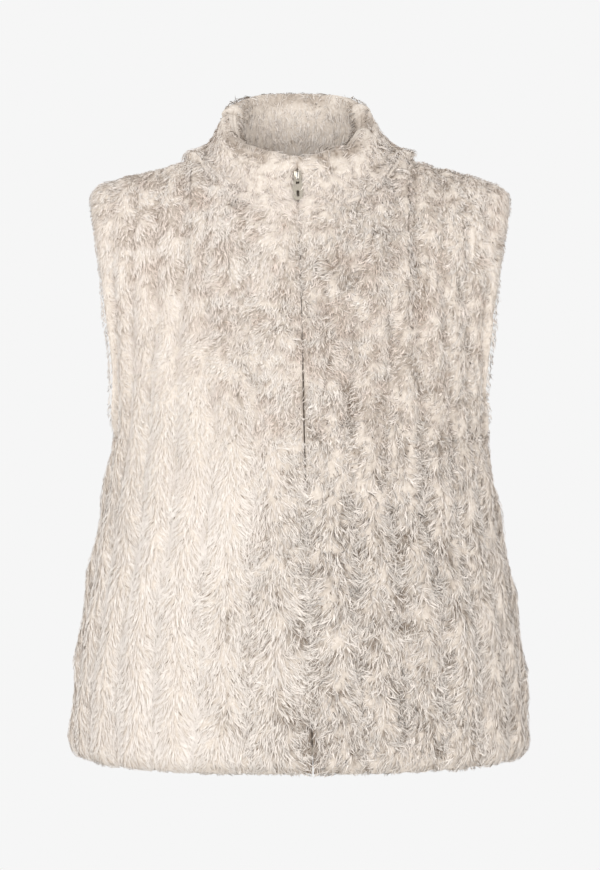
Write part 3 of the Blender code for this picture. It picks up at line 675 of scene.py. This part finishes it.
# The collar is a straight stand of the same fur, sewn to the neckline, and its facing is the
# same fur inside the neck. Both end in the rim.
COLLAR_PILE, COLLAR_WAVE, COLLAR_WAVE_STEP, INNER_PILE = 0.0105, 0.0014, 1.35, 0.0080
COLLAR_COLUMNS, COLLAR_LENGTH, COLLAR_COLUMN, SEAM_GAP = 16, 0.06, 0.0148, 0.0004
RIM_PUFF, INNER_PUFF, BELOW_SEAM, PAST_BACK = 0.0075, 0.0075, -0.10, 1.04
COLLAR_READS, RIM_ROOTS_PAST, FACING_ROOTS_AND_SHADE = (151, 61), 0.08, 0.75


def outer_collar_out(turn, share, side):
    own = collar_out(turn, share, side)
    front = turn < QUARTER
    u = np.where(front, turn, math.pi - turn) / QUARTER * NECK_SHARE
    in_front, behind = (panel_out(u, 0 * u + 2, side, face) for face in (FRONT, BACK))
    below = np.where(front[..., None], in_front, behind)
    beyond = np.where(front[..., None], behind, in_front)
    at_shoulder = eased((u - NECK_SHARE) / CORNER + 1)[..., None]
    at_seam = 1 - eased(share / 0.25)
    return unit(between(own, unit(own + below + beyond * at_shoulder), at_seam[..., None]))


def collar_roots_and_shade(u, v, points):
    # Painted shade in the creases where tufts meet, and brown roots near the rim, both less at the seam.
    crease = 1 - eased(puffs(points) / 0.55)
    rim_roots = 0.55 * eased((v - 0.80) / 0.12) * eased(drift(points, 0.02, 53) + 0.6)
    found = parting(points) * (0.10 + 0.75 * crease) * between(0.2, 1, eased(v / 0.25))
    return np.clip(found + rim_roots, 0, 1)


def collar_half(side, facing):
    """One half of the collar or of its facing. Its u is 0 at the zip and 1 at the back's middle."""
    lowest = 0 if facing else BELOW_SEAM

    def cloth(u, v):
        return collar_point(u * math.pi, v, side)

    def outer(u, v):
        return drawn_together(cloth(u, v), u * COLLAR_COLUMNS * COLLAR_COLUMN, side)

    def lining(surface):
        return lambda u, v: surface(u, v) - collar_out(u * math.pi, v, side) * SEAM_GAP

    def pile(u, v):
        columns = u * COLLAR_COLUMNS
        wave = COLLAR_WAVE * np.sin(columns * COLLAR_WAVE_STEP) * np.sin(math.pi * v)
        puffed = eased(u / 0.16) * eased((0.78 - u) / 0.25)
        depth = INNER_PILE + INNER_PUFF * puffed * eased((v - 0.3) / 0.5)
        if not facing:
            at_corner = 1 + CORNER_FILL * eased((np.sin(math.pi * u) - 0.75) / 0.2)
            fill = NECK_FILL * at_corner * (1 - eased(v / 0.35))
            depth = rounded_off(COLLAR_PILE + wave, TOP_SEAM_PILE, v * COLLAR_LENGTH) + fill
        edge = FREE_EDGE_PILE + RIM_PUFF * puffed
        depth = rounded_off(depth, edge, (1 - v) * COLLAR_LENGTH)
        return rounded_off(depth, ZIP_EDGE_PILE, columns * COLLAR_COLUMN)

    def borders(u, v, read):
        width, height = (np.linalg.norm(read[name], axis=-1) for name in ("across", "along"))
        closed = zip_cover(read["base"][..., 2])
        return [
            (unit(read["along"]), (1 - v) * height, 0.7 + 0 * u, 0.75 + 0 * u),
            (-unit(read["across"]), u * width, 0 * u, 0.4 * closed),
        ]

    half = {"point": lining(outer) if facing else outer, "pile": pile, "borders": borders}
    half["cloth"] = lining(cloth) if facing else cloth
    half["kept"] = lambda u, v: (np.clip(u, 0, PAST_BACK), np.clip(v, lowest, 1))
    half["spread"] = lambda u, v: np.stack([u, v + RIM_ROOTS_PAST * eased((v - 0.8) / 0.2)], -1)
    half["flip"] = -side if facing else side
    half["from_seam"] = lambda u, v: np.clip(v, 0, 1) * COLLAR_LENGTH + facing
    # The facing inside the collar takes less of the roots' brown and the painted shade.
    half["deep"] = lambda u, v, points: collar_roots_and_shade(u, v, points) * (FACING_ROOTS_AND_SHADE if facing else 1)
    half["u_span"] = (0, PAST_BACK, COLLAR_READS[0])
    half["v_span"] = (lowest, 1, COLLAR_READS[1])
    half["out"] = lambda u, v: outer_collar_out(u * math.pi, v, side)
    if facing:
        half["out"] = lambda u, v: -collar_out(u * math.pi, v, side)
    return surveyed(half)


us, vs = np.linspace(0, 1, 73), np.linspace(0, 1, 22)
collars = {}
for name, facing in (("collar_outer", False), ("collar_inner", True)):
    slot = "fur_facing" if facing else "fur"
    collars[name] = [collar_half(side, facing) for side in (LEFT, RIGHT)]
    columns = np.concatenate([[0], us])
    foot = [0] if facing else [BELOW_SEAM, BELOW_SEAM / 2]
    rows = np.concatenate([foot, vs, past(1, COLLAR_LENGTH)])
    tucked = [np.s_[:, 0], np.s_[-1], np.s_[0]]
    walls, coat = [], []
    for half in collars[name]:
        walls.append([grid[:, ::-1] for grid in cloth_walls(half, us[::3], vs[::3])])
        coat.append([grid[:, ::-1] for grid in laid_out(half, columns, rows, tucked)])
    grounds[name] = thin_wall(name + "_ground", *sewn(walls), knit, slot)
    coats[name] = felted_sheet(name + "_undercoat", *sewn(coat), -1 if facing else 1, slot)

# The pile: crimped modacrylic fibre about 14 mm long, combed down into the channels. It is laid
# as flat locks under a millimetre wide, which gather in wisps and tufts. Where it parts, some
# short locks show their brown roots.
LOCK_LENGTH, LOCK_WIDTH = 0.0135, 0.00074
LOCK_STATIONS = np.array([0.0, 0.34, 0.70, 1.0])
ROOT_RISE_SMOOTH, ROOT_RISE_PARTED, LOCK_RISE = 0.84, 0.62, (0.96, 1.03, 0.97)
LOCK_BREADTHS = (1.0, 0.85)
LOCK_CORNERS, LOCK_FACES = np.array([0, 1, 2, 1, 3, 4, 2, 3, 5, 4]), np.array([3, 4, 3])
TUFT_SPACING, TUFT_PINCH, TUFT_TURN = 0.017, 0.15, 0.30
WISP_SPACING, WISP_PINCH, WISP_TURN = 0.0042, 0.62, 0.42
EDGE_REACH, EDGE_LESS, CROSSING_PULL = 0.009, 0.5, 0.75
# Dark locks, and how much of the roots' brown and painted shade the other locks take between tufts.
DARK_SHARE, DARK_LENGTH, DARK_RISE, DARK_WIDTH, ROOTS_AND_SHADE_BETWEEN = 0.75, 0.45, 0.93, 0.85, 0.30
# The last of these is painted shade along the fronts' outer side edges.
LOCK_SPREAD, LOCK_BEND, SIDE_PAINTED_SHADE = 0.12, 0.0014, 0.14

# Long pile: soft lustreless fibre, pale cream at its tips, taupe at its roots, rosy in places. The darker
# roots are partly painted shade, low in the pile.
fur, tree, shader = new_material(
    "long_pile_modacrylic_fur",
    {"Roughness": 0.62, "Specular IOR Level": 0.2, "Sheen Weight": 0.1, "Sheen Roughness": 0.5},
)
strand = node(tree, "ShaderNodeAttribute", attribute_name="strand")
parts = node(tree, "ShaderNodeSeparateColor", links=[("Color", strand, "Color")])
# Both ramps darken towards the root: the roots' taupe, and painted shade low in the pile.
pale, dark = (
    node(tree, "ShaderNodeValToRGB", links=[("Fac", parts, "Red")], stops=stops)
    for stops in (
        [(0.0, "#dcd1c6"), (0.5, "#ece4dc")],
        [(0.0, "#43362c"), (0.5, "#73624f"), (0.85, "#b9aa9b"), (1.0, "#d2c6bb")],
    )
)
# The mix towards the dark ramp follows each lock's dark roots and the painted shade between tufts.
mixed = [(FACTOR, strand, "Alpha"), (FIRST, pale, "Color"), (SECOND, dark, "Color")]
tone = node(tree, "ShaderNodeMix", links=mixed, data_type="RGBA")
mixed = [(FACTOR, parts, "Green"), (FIRST, tone, RESULT)]
rosy_brown = {SECOND: (*linear("#d3b7a4"), 1)}
blush = node(tree, "ShaderNodeMix", rosy_brown, mixed, data_type="RGBA")
settings = {"To Min": 0.80, "To Max": 1.14}
shade = node(tree, "ShaderNodeMapRange", settings, [("Value", parts, "Blue")])
mixed = [(0, blush, RESULT), ("Scale", shade, 0)]
shaded = node(tree, "ShaderNodeVectorMath", links=mixed, operation="SCALE")
tree.links.new(shaded.outputs[0], shader.inputs["Base Color"])


def run_along(points):
    """How far along a line each of its points lies."""
    return np.concatenate([[0], np.cumsum(np.linalg.norm(np.diff(points, axis=0), axis=1))])


def strewn(point, spacing, rng, v_ends):
    """Evenly strewn u, v on a surface, about spacing apart."""
    ladder = np.linspace(*v_ends, 160)
    climbed = run_along(point(np.full(160, 0.5), ladder))
    rows = max(int(round(climbed[-1] / spacing)), 1)
    line = np.linspace(0, 1, 120)
    found = []
    for row in range(rows):
        low, high = np.interp(np.array([row, row + 1]) / rows * climbed[-1], climbed, ladder)
        walked = run_along(point(line, np.full(120, (low + high) / 2)))
        count = max(int(round(walked[-1] / spacing)), 1)
        stops = (np.arange(count) + rng.uniform(0, 1, count)) / count * walked[-1]
        found.append(np.stack([np.interp(stops, walked, line), rng.uniform(low, high, count)], -1))
    return np.concatenate(found)


def nearest(points, centres):
    tree = KDTree(len(centres))
    for i, centre in enumerate(centres):
        tree.insert(centre, i)
    tree.balance()
    return np.array([tree.find(p)[1] for p in points])


def dot(a, b):
    return np.sum(a * b, axis=-1)


def combed(across, outs, angle):
    """The direction at an angle off straight down the cloth, turned towards +u."""
    down = unit(np.array([0, 0, -1.0]) + outs * outs[:, 2:3])
    aside = unit(across - down * dot(across, down)[:, None])
    return down * np.cos(angle)[:, None] + aside * np.sin(angle)[:, None]


def stepped(across, along, flow):
    """The steps in u and v for each metre along the cloth in a direction."""
    uu, uv, vv = dot(across, across), dot(across, along), dot(along, along)
    fu, fv = dot(flow, across), dot(flow, along)
    whole = uu * vv - uv * uv
    steps = np.stack([(fu * vv - fv * uv) / whole, (fv * uu - fu * uv) / whole], -1)
    reached = across * steps[:, :1] + along * steps[:, 1:]
    return steps / np.maximum(np.linalg.norm(reached, axis=1), 0.3)[:, None]


def locks_mesh(name, vertices):
    """A mesh of flat locks, each a triangle, a square and a triangle on six points of its own."""
    count, each = vertices.shape[:2]
    loops = (np.arange(count)[:, None] * each + LOCK_CORNERS[None, :]).ravel()
    mesh = bpy.data.meshes.new(name)
    mesh.vertices.add(count * each)
    mesh.vertices.foreach_set("co", vertices.ravel())
    mesh.loops.add(len(loops))
    mesh.loops.foreach_set("vertex_index", loops)
    mesh.polygons.add(count * len(LOCK_FACES))
    ends = np.cumsum(np.tile(LOCK_FACES, count))
    mesh.polygons.foreach_set("loop_start", np.concatenate([[0], ends[:-1]]))
    mesh.update(calc_edges=True)
    mesh.shade_smooth()
    return mesh


def lay_pile(name, half, spacing, v_ends, comb, look, seed):
    """Lays locks of fur over one half of a cloth and joins them into one piece.

    comb(u, v, points) is the angle that the pile lies at, off straight down towards +u.
    look(u, v, points) gives each lock's share of full length and how rosy it is.
    """
    rng = np.random.default_rng(seed)
    roots = half["spread"](*strewn(half["point"], spacing, rng, v_ends).T)
    wisps = strewn(half["point"], WISP_SPACING, rng, v_ends)
    tufts = strewn(half["point"], TUFT_SPACING, rng, v_ends)
    count = len(roots)
    read = looked_up(half, *half["kept"](*roots.T))
    points, outs, parted = read["base"], read["out"], read["parting"][:, 0]
    wisp_points, tuft_points = (looked_up(half, *places.T)["base"] for places in (wisps, tufts))
    wisp_tuft = nearest(wisp_points, tuft_points)
    own_wisp = nearest(points, wisp_points)
    own_tuft = wisp_tuft[own_wisp]
    ruffled = rng.normal(0, WISP_TURN, len(wisps)) + rng.normal(0, TUFT_TURN, len(tufts))[wisp_tuft]
    ruffled *= between(0.3, 1, looked_up(half, *wisps.T)["parting"][:, 0])
    turn = comb(wisps[:, 0], wisps[:, 1], wisp_points) + ruffled
    strayed = rng.normal(0, LOCK_SPREAD, count) * between(0.4, 1, parted)
    flow = combed(read["across"], outs, turn[own_wisp] + strayed)
    reach, rosy = look(*roots.T, points)
    # Near a border some locks turn to cross it, and near a free edge they lean over and shorten.
    lean_over = np.zeros((count, 3))
    for direction, distance, lean_share, crossing in half["borders"](*roots.T, read):
        near = np.clip(1 - distance / EDGE_REACH, 0, 1)
        lean_over += direction * (near * lean_share)[:, None]
        reach = reach * (1 - EDGE_LESS * near * np.minimum(lean_share, 1))
        crosses = (rng.uniform(0, 1, count) < crossing) & (near > 0)
        flow[crosses] = unit(direction * CROSSING_PULL + flow)[crosses]
    # Where the pile parts, some locks are short and dark. The others take the roots' brown and painted
    # shade between tufts.
    dark = rng.uniform(0, 1, count) < DARK_SHARE * read["deep"][:, 0]
    tone = np.where(dark, rng.uniform(0.5, 1, count), ROOTS_AND_SHADE_BETWEEN * read["deep"][:, 0])
    # Painted shade: the fronts darken along their outer side edges, where they round away from the light.
    tone += SIDE_PAINTED_SHADE * eased((points[:, 0] - 0.165) / 0.03) * (points[:, 1] < 0)
    length = LOCK_LENGTH * reach * rng.uniform(0.72, 1.15, count) * np.where(dark, DARK_LENGTH, 1)
    length *= rng.uniform(0.8, 1.15, len(tufts))[own_tuft]
    uneven = rng.uniform(-0.10, 0.07, len(tufts))[own_tuft] + rng.uniform(-0.03, 0.03, count)
    uneven += rng.uniform(-0.16, 0.07, len(wisps))[own_wisp]
    stand = 1 + uneven * between(0.22, 1, parted)
    to_tuft, to_wisp = tufts[own_tuft] - roots, wisps[own_wisp] - roots
    bend = rng.normal(0, LOCK_BEND, count) * (1 + parted)
    free, spine, normals, before = roots.copy(), [], [], 0.0
    root_rise = between(ROOT_RISE_SMOOTH, ROOT_RISE_PARTED, parted)
    root_rise = np.where(dark, DARK_RISE, root_rise)
    for s, rise in zip(LOCK_STATIONS, (root_rise, *LOCK_RISE)):
        steps = stepped(read["across"], read["along"], flow)
        free = free + steps * (length * (s - before))[:, None]
        gathered = free + to_tuft * (TUFT_PINCH * s) + to_wisp * (WISP_PINCH * s)
        read, place, turned = risen(half, *gathered.T, stand * rise, lean_over)
        aside = np.cross(read["out"], flow)
        spine.append(place + aside * (bend * s * s)[:, None])
        tilt = flow * ((s - 0.45) * between(0.12, 0.55, parted))[:, None]
        normals.append(unit(read["facing"] + turned + tilt))
        before = s
    wide = unit(np.cross(outs, flow) + outs * rng.uniform(-0.5, 0.5, count)[:, None])
    breadth = LOCK_WIDTH * rng.uniform(0.7, 1.3, count) * np.where(dark, DARK_WIDTH, 1)
    rings = [spine[0]]
    for place, share in zip(spine[1:], LOCK_BREADTHS):
        half_width = wide * (breadth * share / 2)[:, None]
        rings += [place - half_width, place + half_width]
    rings.append(spine[-1])
    mesh = locks_mesh(name, np.stack(rings, axis=1))
    # Each lock carries its share of the length, rosiness, a number of its own, and depth of tone, which
    # holds its dark roots and painted shade.
    station = np.array([0, 1, 1, 2, 2, 3])
    strand = np.ones((count, len(station), 4))
    strand[..., 0] = LOCK_STATIONS[station]
    strand[..., 1] = np.clip(rosy, 0, 1)[:, None]
    own = rng.uniform(0, 1, count) + rng.uniform(0, 1, len(wisps))[own_wisp]
    strand[..., 2] = 0.5 + ((own - 1) / 2 * between(0.15, 1.2, parted))[:, None]
    strand[..., 3] = tone[:, None]
    carry_strand(mesh, strand)
    # Light falls on the pile as on the soft round forms of its puffs and wisps.
    from_wisp = (points - wisp_points[own_wisp]) / WISP_SPACING
    from_wisp *= between(0.03, 0.6, parted)[:, None]
    jitter = rng.normal(0, 1, (count, 3)) * between(0.0, 0.44, parted)[:, None]
    soft = np.stack(normals, axis=1)[:, station] + (from_wisp + jitter)[:, None, :]
    mesh.normals_split_custom_set_from_vertices(unit(soft).reshape(-1, 3).tolist())
    mesh.materials.append(fur)
    return vest_piece(name, mesh)


def body_comb(face):
    def comb(u, v, points):
        share, _ = rib_share(u, v)
        chest = eased((points[:, 2] + 0.33) / 0.12) * (0.9 if face == FRONT else 0.3)
        wander = 0.34 + 0.75 * chest
        into_channel = -0.55 * np.sin(2 * math.pi * share) * (1 - 0.5 * chest)
        swirl = drift(points, 0.048, 11) + 0.6 * drift(points, 0.020, 12)
        return into_channel + wander * swirl

    return comb


def body_look(u, v, points):
    channel = in_channel(u, v, 0.12)
    chest = eased((points[:, 2] + 0.36) / 0.12)
    rosy = eased(drift(points, 0.02, 21) * 0.9 + 0.25) * between(0.04, 0.16, chest)
    rosy = rosy + 0.22 * crinkled(points)
    reach = between(1.0, 0.8, channel) * between(1.0, 0.6, chest)
    return reach, rosy


furs = {"front_left": [], "front_right": [], "back": []}
for (side, face), half in halves.items():
    word = "left" if side == LEFT else "right"
    owner = "front_" + word if face == FRONT else "back"
    name = owner + "_fur" if face == FRONT else "back_fur_" + word
    spacing = 0.00188 if face == FRONT else 0.00215
    seed = side * 3 + face * 5 + 20
    laid = lay_pile(name, half, spacing, (0.0, 2.0), body_comb(face), body_look, seed)
    furs[owner].append(laid)

for name, flat, area in (
    ("front_left", (0.32, 0.68), 0.17),
    ("front_right", (0.32, 0.68), 0.17),
    ("back", (0.64, 0.66), 0.34),
):
    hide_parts(name)


def collar_comb(u, v, points):
    return 0.6 * drift(points, 0.04, 31) + 0.35 * drift(points, 0.015, 32)


def collar_look(u, v, points, reach=0.8, blush=0.10):
    return np.full(len(u), reach), eased(drift(points, 0.04, 33) * 0.8 + 0.1) * 0.15 + blush


def facing_look(u, v, points):
    return collar_look(u, v, points, 0.75, 0)


for name, slot, spacing, look, seeds in (
    ("collar_outer", "fur", 0.0018, collar_look, (52, 48)),
    ("collar_inner", "fur_facing", 0.0021, facing_look, (59, 55)),
):
    laid = []
    for word, half, seed in zip(("left", "right"), collars[name], seeds):
        piece = f"{name}_fur_{word}"
        laid.append(lay_pile(piece, half, spacing, (0.0, 1.0), collar_comb, look, seed))
    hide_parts(name)

# The zip is an open-ended one, 60 cm long. Two woven polyester tapes are sewn behind the edges
# of the fronts and the collar, and meet at the zip's middle.
TAPE_BEHIND, TAPE_THICK, TAPE_SPLIT, TAPE_COLUMN = 0.0003, 0.0009, 0.0003, 1 / 21
TAPE_BODY, TAPE_NECK, ZIP_STEP = (0.013, 1.985), (0.02, 0.88), 2e-3

# Woven tape: brown taupe polyester with a fine rib every millimetre, drawn at two.
woven, tree, shader = new_material(
    "woven_polyester_tape", {"Roughness": 0.8, "Specular IOR Level": 0.3, "Sheen Weight": 0.2}
)
place = node(tree, "ShaderNodeTexCoord")
mapped = node(tree, "ShaderNodeMapping", {"Scale": (0, 0, 1)}, [("Vector", place, "Object")])
settings = {"Scale": 160.0, "Distortion": 0.4, "Detail": 1.0}
ribbing = node(tree, "ShaderNodeTexWave", settings, [("Vector", mapped, 0)], bands_direction="Z")
stops = [(0.2, "#7d6f60"), (0.8, "#94867a")]
tone = node(tree, "ShaderNodeValToRGB", links=[("Fac", ribbing, "Fac")], stops=stops)
finish(tree, shader, tone, "Color", ribbing, 0.4, 0.0003)


def zip_line(share):
    """A point on the zip's middle and the directions across, up and out of the cloth there.

    share runs from 0 at the hem over 2 at the neck seam to 3 at the rim.
    """

    def middle(s):
        zero, s = np.array(0.0), np.array(s)
        if s <= 2:
            return sum(panel_point(zero, s, side, FRONT) for side in (LEFT, RIGHT)) / 2
        return sum(collar_point(zero, s - 2, side) for side in (LEFT, RIGHT)) / 2

    up = unit(middle(min(share + ZIP_STEP, 3)) - middle(max(share - ZIP_STEP, 0)))
    across = unit(np.cross([0, -1, 0], up)) * -1
    out = np.cross(up, across)
    return middle(share), across * np.sign(across[0]), up, out * -np.sign(out[1])


for name, side in (("zip_tape_left", LEFT), ("zip_tape_right", RIGHT)):
    columns = np.array([0, 0, 0.25, 0.5, 1]) * TAPE_COLUMN
    u, v = np.meshgrid(columns, np.linspace(*TAPE_BODY, 120))
    body, body_outs = panel_point(u, v, side, FRONT), body_out(u, v, side, FRONT)
    turn, share = np.meshgrid(u[0] / NECK_SHARE * QUARTER, np.linspace(*TAPE_NECK, 14))
    neck, neck_outs = collar_point(turn, share, side), outer_collar_out(turn, share, side)
    cloth, outs = np.concatenate([body, neck]), np.concatenate([body_outs, neck_outs])
    cloth[:, 0, 0] = lean(cloth[:, 0, 2]) + side * TAPE_SPLIT
    outer = cloth - outs * TAPE_BEHIND
    tape = thin_wall(name + "_weave", outer - outs * TAPE_THICK, outer, woven, "tape")
    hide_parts(name)

# The chain: moulded teeth, 1.1 mm along the zip and 2.6 mm through it, set 2.3 mm apart on each
# tape and locked into those of the other one. Each has a foot that grips the tape and a head
# just past the middle.
TOOTH_PITCH, TOOTH_HALF = 0.0023, 0.00055
TOOTH_LEVELS = ((0.0003, 1.0), (0.0023, 1.0), (0.0029, 0.7))
CHAIN_START, CHAIN_END = 0.078, 2.56
FOOT_X, NECK_X, HEAD_X, NECK_SLIM = 0.0028, 0.0006, -0.0007, 0.72

# Moulded teeth: acetal lacquered to match the slider, a warm grey with a dull gleam.
grain = (700.0, 2.0, 0.5)
look = {"Roughness": 0.42}
lacquer = mottled("lacquered_acetal_teeth", look, ("#8d8174", "#a3978a"), grain, grain, 0.1, 0.0002)

shares = np.linspace(CHAIN_START, CHAIN_END, 400)
line = [zip_line(share) for share in shares]
middles, acrosses, ups, outs = (np.array(part) for part in zip(*line))
run = run_along(middles)
teeth_vertices, teeth_faces = [], []
outline = [(FOOT_X, 1.0), (NECK_X, NECK_SLIM), (HEAD_X, 1.0)]
outline += [(x, -along) for x, along in outline[::-1]]
for side, offset in ((LEFT, 0.0), (RIGHT, TOOTH_PITCH / 2)):
    for stop in np.arange(offset, run[-1], TOOTH_PITCH):
        middle, across, up, out = (
            np.array([np.interp(stop, run, grid[:, k]) for k in range(3)])
            for grid in (middles, acrosses, ups, outs)
        )
        first = len(teeth_vertices)
        for height, inset in TOOTH_LEVELS:
            for x, along in outline:
                place = middle + across * side * x + up * along * TOOTH_HALF * inset
                teeth_vertices.append(place + out * height)
        for ring in (0, 6):
            for k in range(6):
                corners = [ring + k, ring + (k + 1) % 6, ring + (k + 1) % 6 + 6, ring + k + 6]
                teeth_faces.append([first + corner for corner in corners])
        teeth_faces.append([first + k for k in (0, 5, 4, 3, 2, 1)])
        teeth_faces.append([first + k for k in (12, 13, 14, 15, 16, 17)])
mesh = closed_mesh("zip_chain_teeth", teeth_vertices, teeth_faces, lacquer)
teeth = vest_piece("zip_chain_teeth", mesh)
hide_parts("zip_chain")

# The slider, its bridge, the pull that hangs on the bridge, and the box at the zip's foot are die-cast
# zinc. The pull and the box keep the CAD's own forms. The slider is cast finer, with a bridge of two bars
# over a hollow. The bars are coloured near white as a painted highlight, and the hollow and a cap between
# the bars' upper ends near black as painted shadow.
SLIDER_SHARE, SLIDER_LOW, SLIDER_HIGH, SLIDER_BEVEL = 2.68, 0.0003, 0.0043, 0.0007
SLIDER_HALF_WIDTH, SLIDER_HALF_LENGTH, SLIDER_TAPER = 0.0042, 0.0060, 0.79
BRIDGE_LOW_END, BRIDGE_HIGH_END, BRIDGE_BAR, BRIDGE_THICK = -0.0036, 0.0044, 0.0007, 0.0011
BRIDGE_RISE, BRIDGE_HALF_WIDTH, BRIDGE_SUNK, BRIDGE_BEVEL = 0.0037, 0.0011, 0.0008, 0.0002
CAP_LENGTH, CAP_THICK, HOLLOW_HALF_WIDTH, HOLLOW_INSET = 0.0009, 0.0010, 0.00095, 0.0006
HOLLOW_BELOW, HOLLOW_ABOVE, HOLLOW_BEVEL = 0.0002, 0.0001, 0.00005

# Satin nickel plating: a soft silver grey whose fine casting grain blurs what it mirrors.
grain, look = (900.0, 3.0, 0.5), {"Metallic": 1.0, "Roughness": 0.30}
nickel = mottled("satin_nickel_plated_zinc", look, ("#a59d90", "#bab2a5"), grain, grain, 0.12, 0.0002)
for name in ("zip_pull", "zip_box"):
    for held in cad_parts[name].material_slots:
        held.material = nickel

# Painted highlight: the bridge's bars, nickel coloured near white for the light they catch, and smoother
# than the rest.
grain, look = (500.0, 2.0, 0.5), {"Metallic": 1.0, "Roughness": 0.16}
painted_highlight_nickel = mottled("nickel_painted_highlight", look, ("#e6e2da", "#f4f1ec"), grain, grain, 0.05, 0.0001)

# Painted shadow: the hollow under the bridge, coloured nearly black for the shade in it.
grain, look = (800.0, 2.0, 0.5), {"Roughness": 0.7}
painted_shadow_zinc = mottled("zinc_painted_shadow", look, ("#1d1916", "#2e2823"), grain, grain, 0.1, 0.0001)


def cast_block(corner, opposite, bevel, made):
    """A block between two corners, with bevelled edges."""
    corner, opposite = Vector(corner), Vector(opposite)
    bpy.ops.mesh.primitive_cube_add(size=1, location=(corner + opposite) / 2)
    block = bpy.context.object
    block.scale = opposite - corner
    bpy.ops.object.transform_apply(location=True, rotation=False, scale=True)
    rounding = block.modifiers.new("rounding", "BEVEL")
    rounding.width, rounding.segments = bevel, 3
    bpy.ops.object.modifier_apply(modifier="rounding")
    block.data.materials.append(made)
    return block


low_corner = (-SLIDER_HALF_WIDTH, -SLIDER_HALF_LENGTH, SLIDER_LOW)
high_corner = (SLIDER_HALF_WIDTH, SLIDER_HALF_LENGTH, SLIDER_HIGH)
body = cast_block(low_corner, high_corner, SLIDER_BEVEL, nickel)
for vertex in body.data.vertices:
    up_share = (vertex.co.y + SLIDER_HALF_LENGTH) / (2 * SLIDER_HALF_LENGTH)
    vertex.co.x *= between(SLIDER_TAPER, 1.0, up_share)
cast = [body]
low_corner = (-HOLLOW_HALF_WIDTH, BRIDGE_LOW_END + HOLLOW_INSET, SLIDER_HIGH - HOLLOW_BELOW)
high_corner = (HOLLOW_HALF_WIDTH, BRIDGE_HIGH_END, SLIDER_HIGH + HOLLOW_ABOVE)
cast.append(cast_block(low_corner, high_corner, HOLLOW_BEVEL, painted_shadow_zinc))
top = SLIDER_HIGH + BRIDGE_RISE
for x in (-BRIDGE_HALF_WIDTH, BRIDGE_HALF_WIDTH - BRIDGE_BAR):
    low, high = BRIDGE_LOW_END, BRIDGE_HIGH_END
    for y0, y1, z0 in (
        (low, low + BRIDGE_THICK, SLIDER_HIGH - BRIDGE_SUNK),
        (high - BRIDGE_THICK, high, SLIDER_HIGH - BRIDGE_SUNK),
        (low, high, top - BRIDGE_THICK),
    ):
        bar_end = (x + BRIDGE_BAR, y1, top)
        cast.append(cast_block((x, y0, z0), bar_end, BRIDGE_BEVEL, painted_highlight_nickel))
# Painted shadow: the cap between the bars' upper ends is coloured nearly black too.
low_corner = (-BRIDGE_HALF_WIDTH, BRIDGE_HIGH_END - CAP_LENGTH, top - CAP_THICK)
high_corner = (BRIDGE_HALF_WIDTH, BRIDGE_HIGH_END, top)
cast.append(cast_block(low_corner, high_corner, BRIDGE_BEVEL, painted_shadow_zinc))
bpy.ops.object.select_all(action="DESELECT")
for block in cast:
    block.select_set(True)
bpy.context.view_layer.objects.active = body
bpy.ops.object.join()
middle, across, up, out = zip_line(SLIDER_SHARE)
turn = Matrix((across, up, out)).transposed().to_4x4()
body.data.transform(Matrix.Translation(Vector(middle)) @ turn)
bpy.ops.object.shade_smooth_by_angle(angle=math.radians(35))
body.name = body.data.name = "zip_slider_cast"
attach(body, "vest")
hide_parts("zip_slider")

# Studio: the vest hangs above a plain pale floor, seen at eye level, with a broad key light
# from the upper left and a softer fill.
FLOOR_SIZE, FLOOR_HEIGHT = 4.0, -1.5
bpy.ops.mesh.primitive_plane_add(size=FLOOR_SIZE, location=(0, 0, FLOOR_HEIGHT))
floor = bpy.context.object
floor.name = "studio_floor"
# Painted board: matt off-white, a little cloudy.
clouds, grain = (3.0, 2.0, 0.5), (250.0, 2.0, 0.5)
colours, look = ("#e9e9e8", "#ededec"), {"Roughness": 0.9}
paint = mottled("matt_painted_board", look, colours, clouds, grain, 0.05, 0.0004)
floor.data.materials.append(paint)

AIM = Vector((0, 0, -0.2756))
DISTANCE, ELEVATION, SEEN_HEIGHT, SENSOR = 3.0, math.radians(3), 0.905, 36


def aimed(name, data, place):
    """Puts a camera or a lamp at a place and turns it to the middle of the vest."""
    made = bpy.data.objects.new(name, data)
    bpy.context.scene.collection.objects.link(made)
    made.location = place
    made.rotation_euler = (AIM - Vector(place)).to_track_quat("-Z", "Y").to_euler()
    return made


toward = Vector((0, -math.cos(ELEVATION), math.sin(ELEVATION)))
camera = aimed("camera", bpy.data.cameras.new("camera"), AIM + toward * DISTANCE)
camera.data.sensor_fit = "VERTICAL"
camera.data.sensor_height = SENSOR
camera.data.lens = SENSOR * DISTANCE / SEEN_HEIGHT
bpy.context.scene.camera = camera

bpy.context.scene.view_settings.view_transform = "Standard"
world = bpy.data.worlds.new("studio")
bpy.context.scene.world = world
world.use_nodes = True
backdrop = world.node_tree.nodes["Background"]
backdrop.inputs["Color"].default_value = (*linear("#f6f6f6"), 1)
backdrop.inputs["Strength"].default_value = 1.0
for name, place, power in (("key", (-1.4, -2.7, 0.6), 42), ("fill", (1.6, -2.4, 0.2), 26)):
    light = bpy.data.lights.new(name, "AREA")
    light.size = 1.8
    light.energy = power
    aimed(name, light, place)
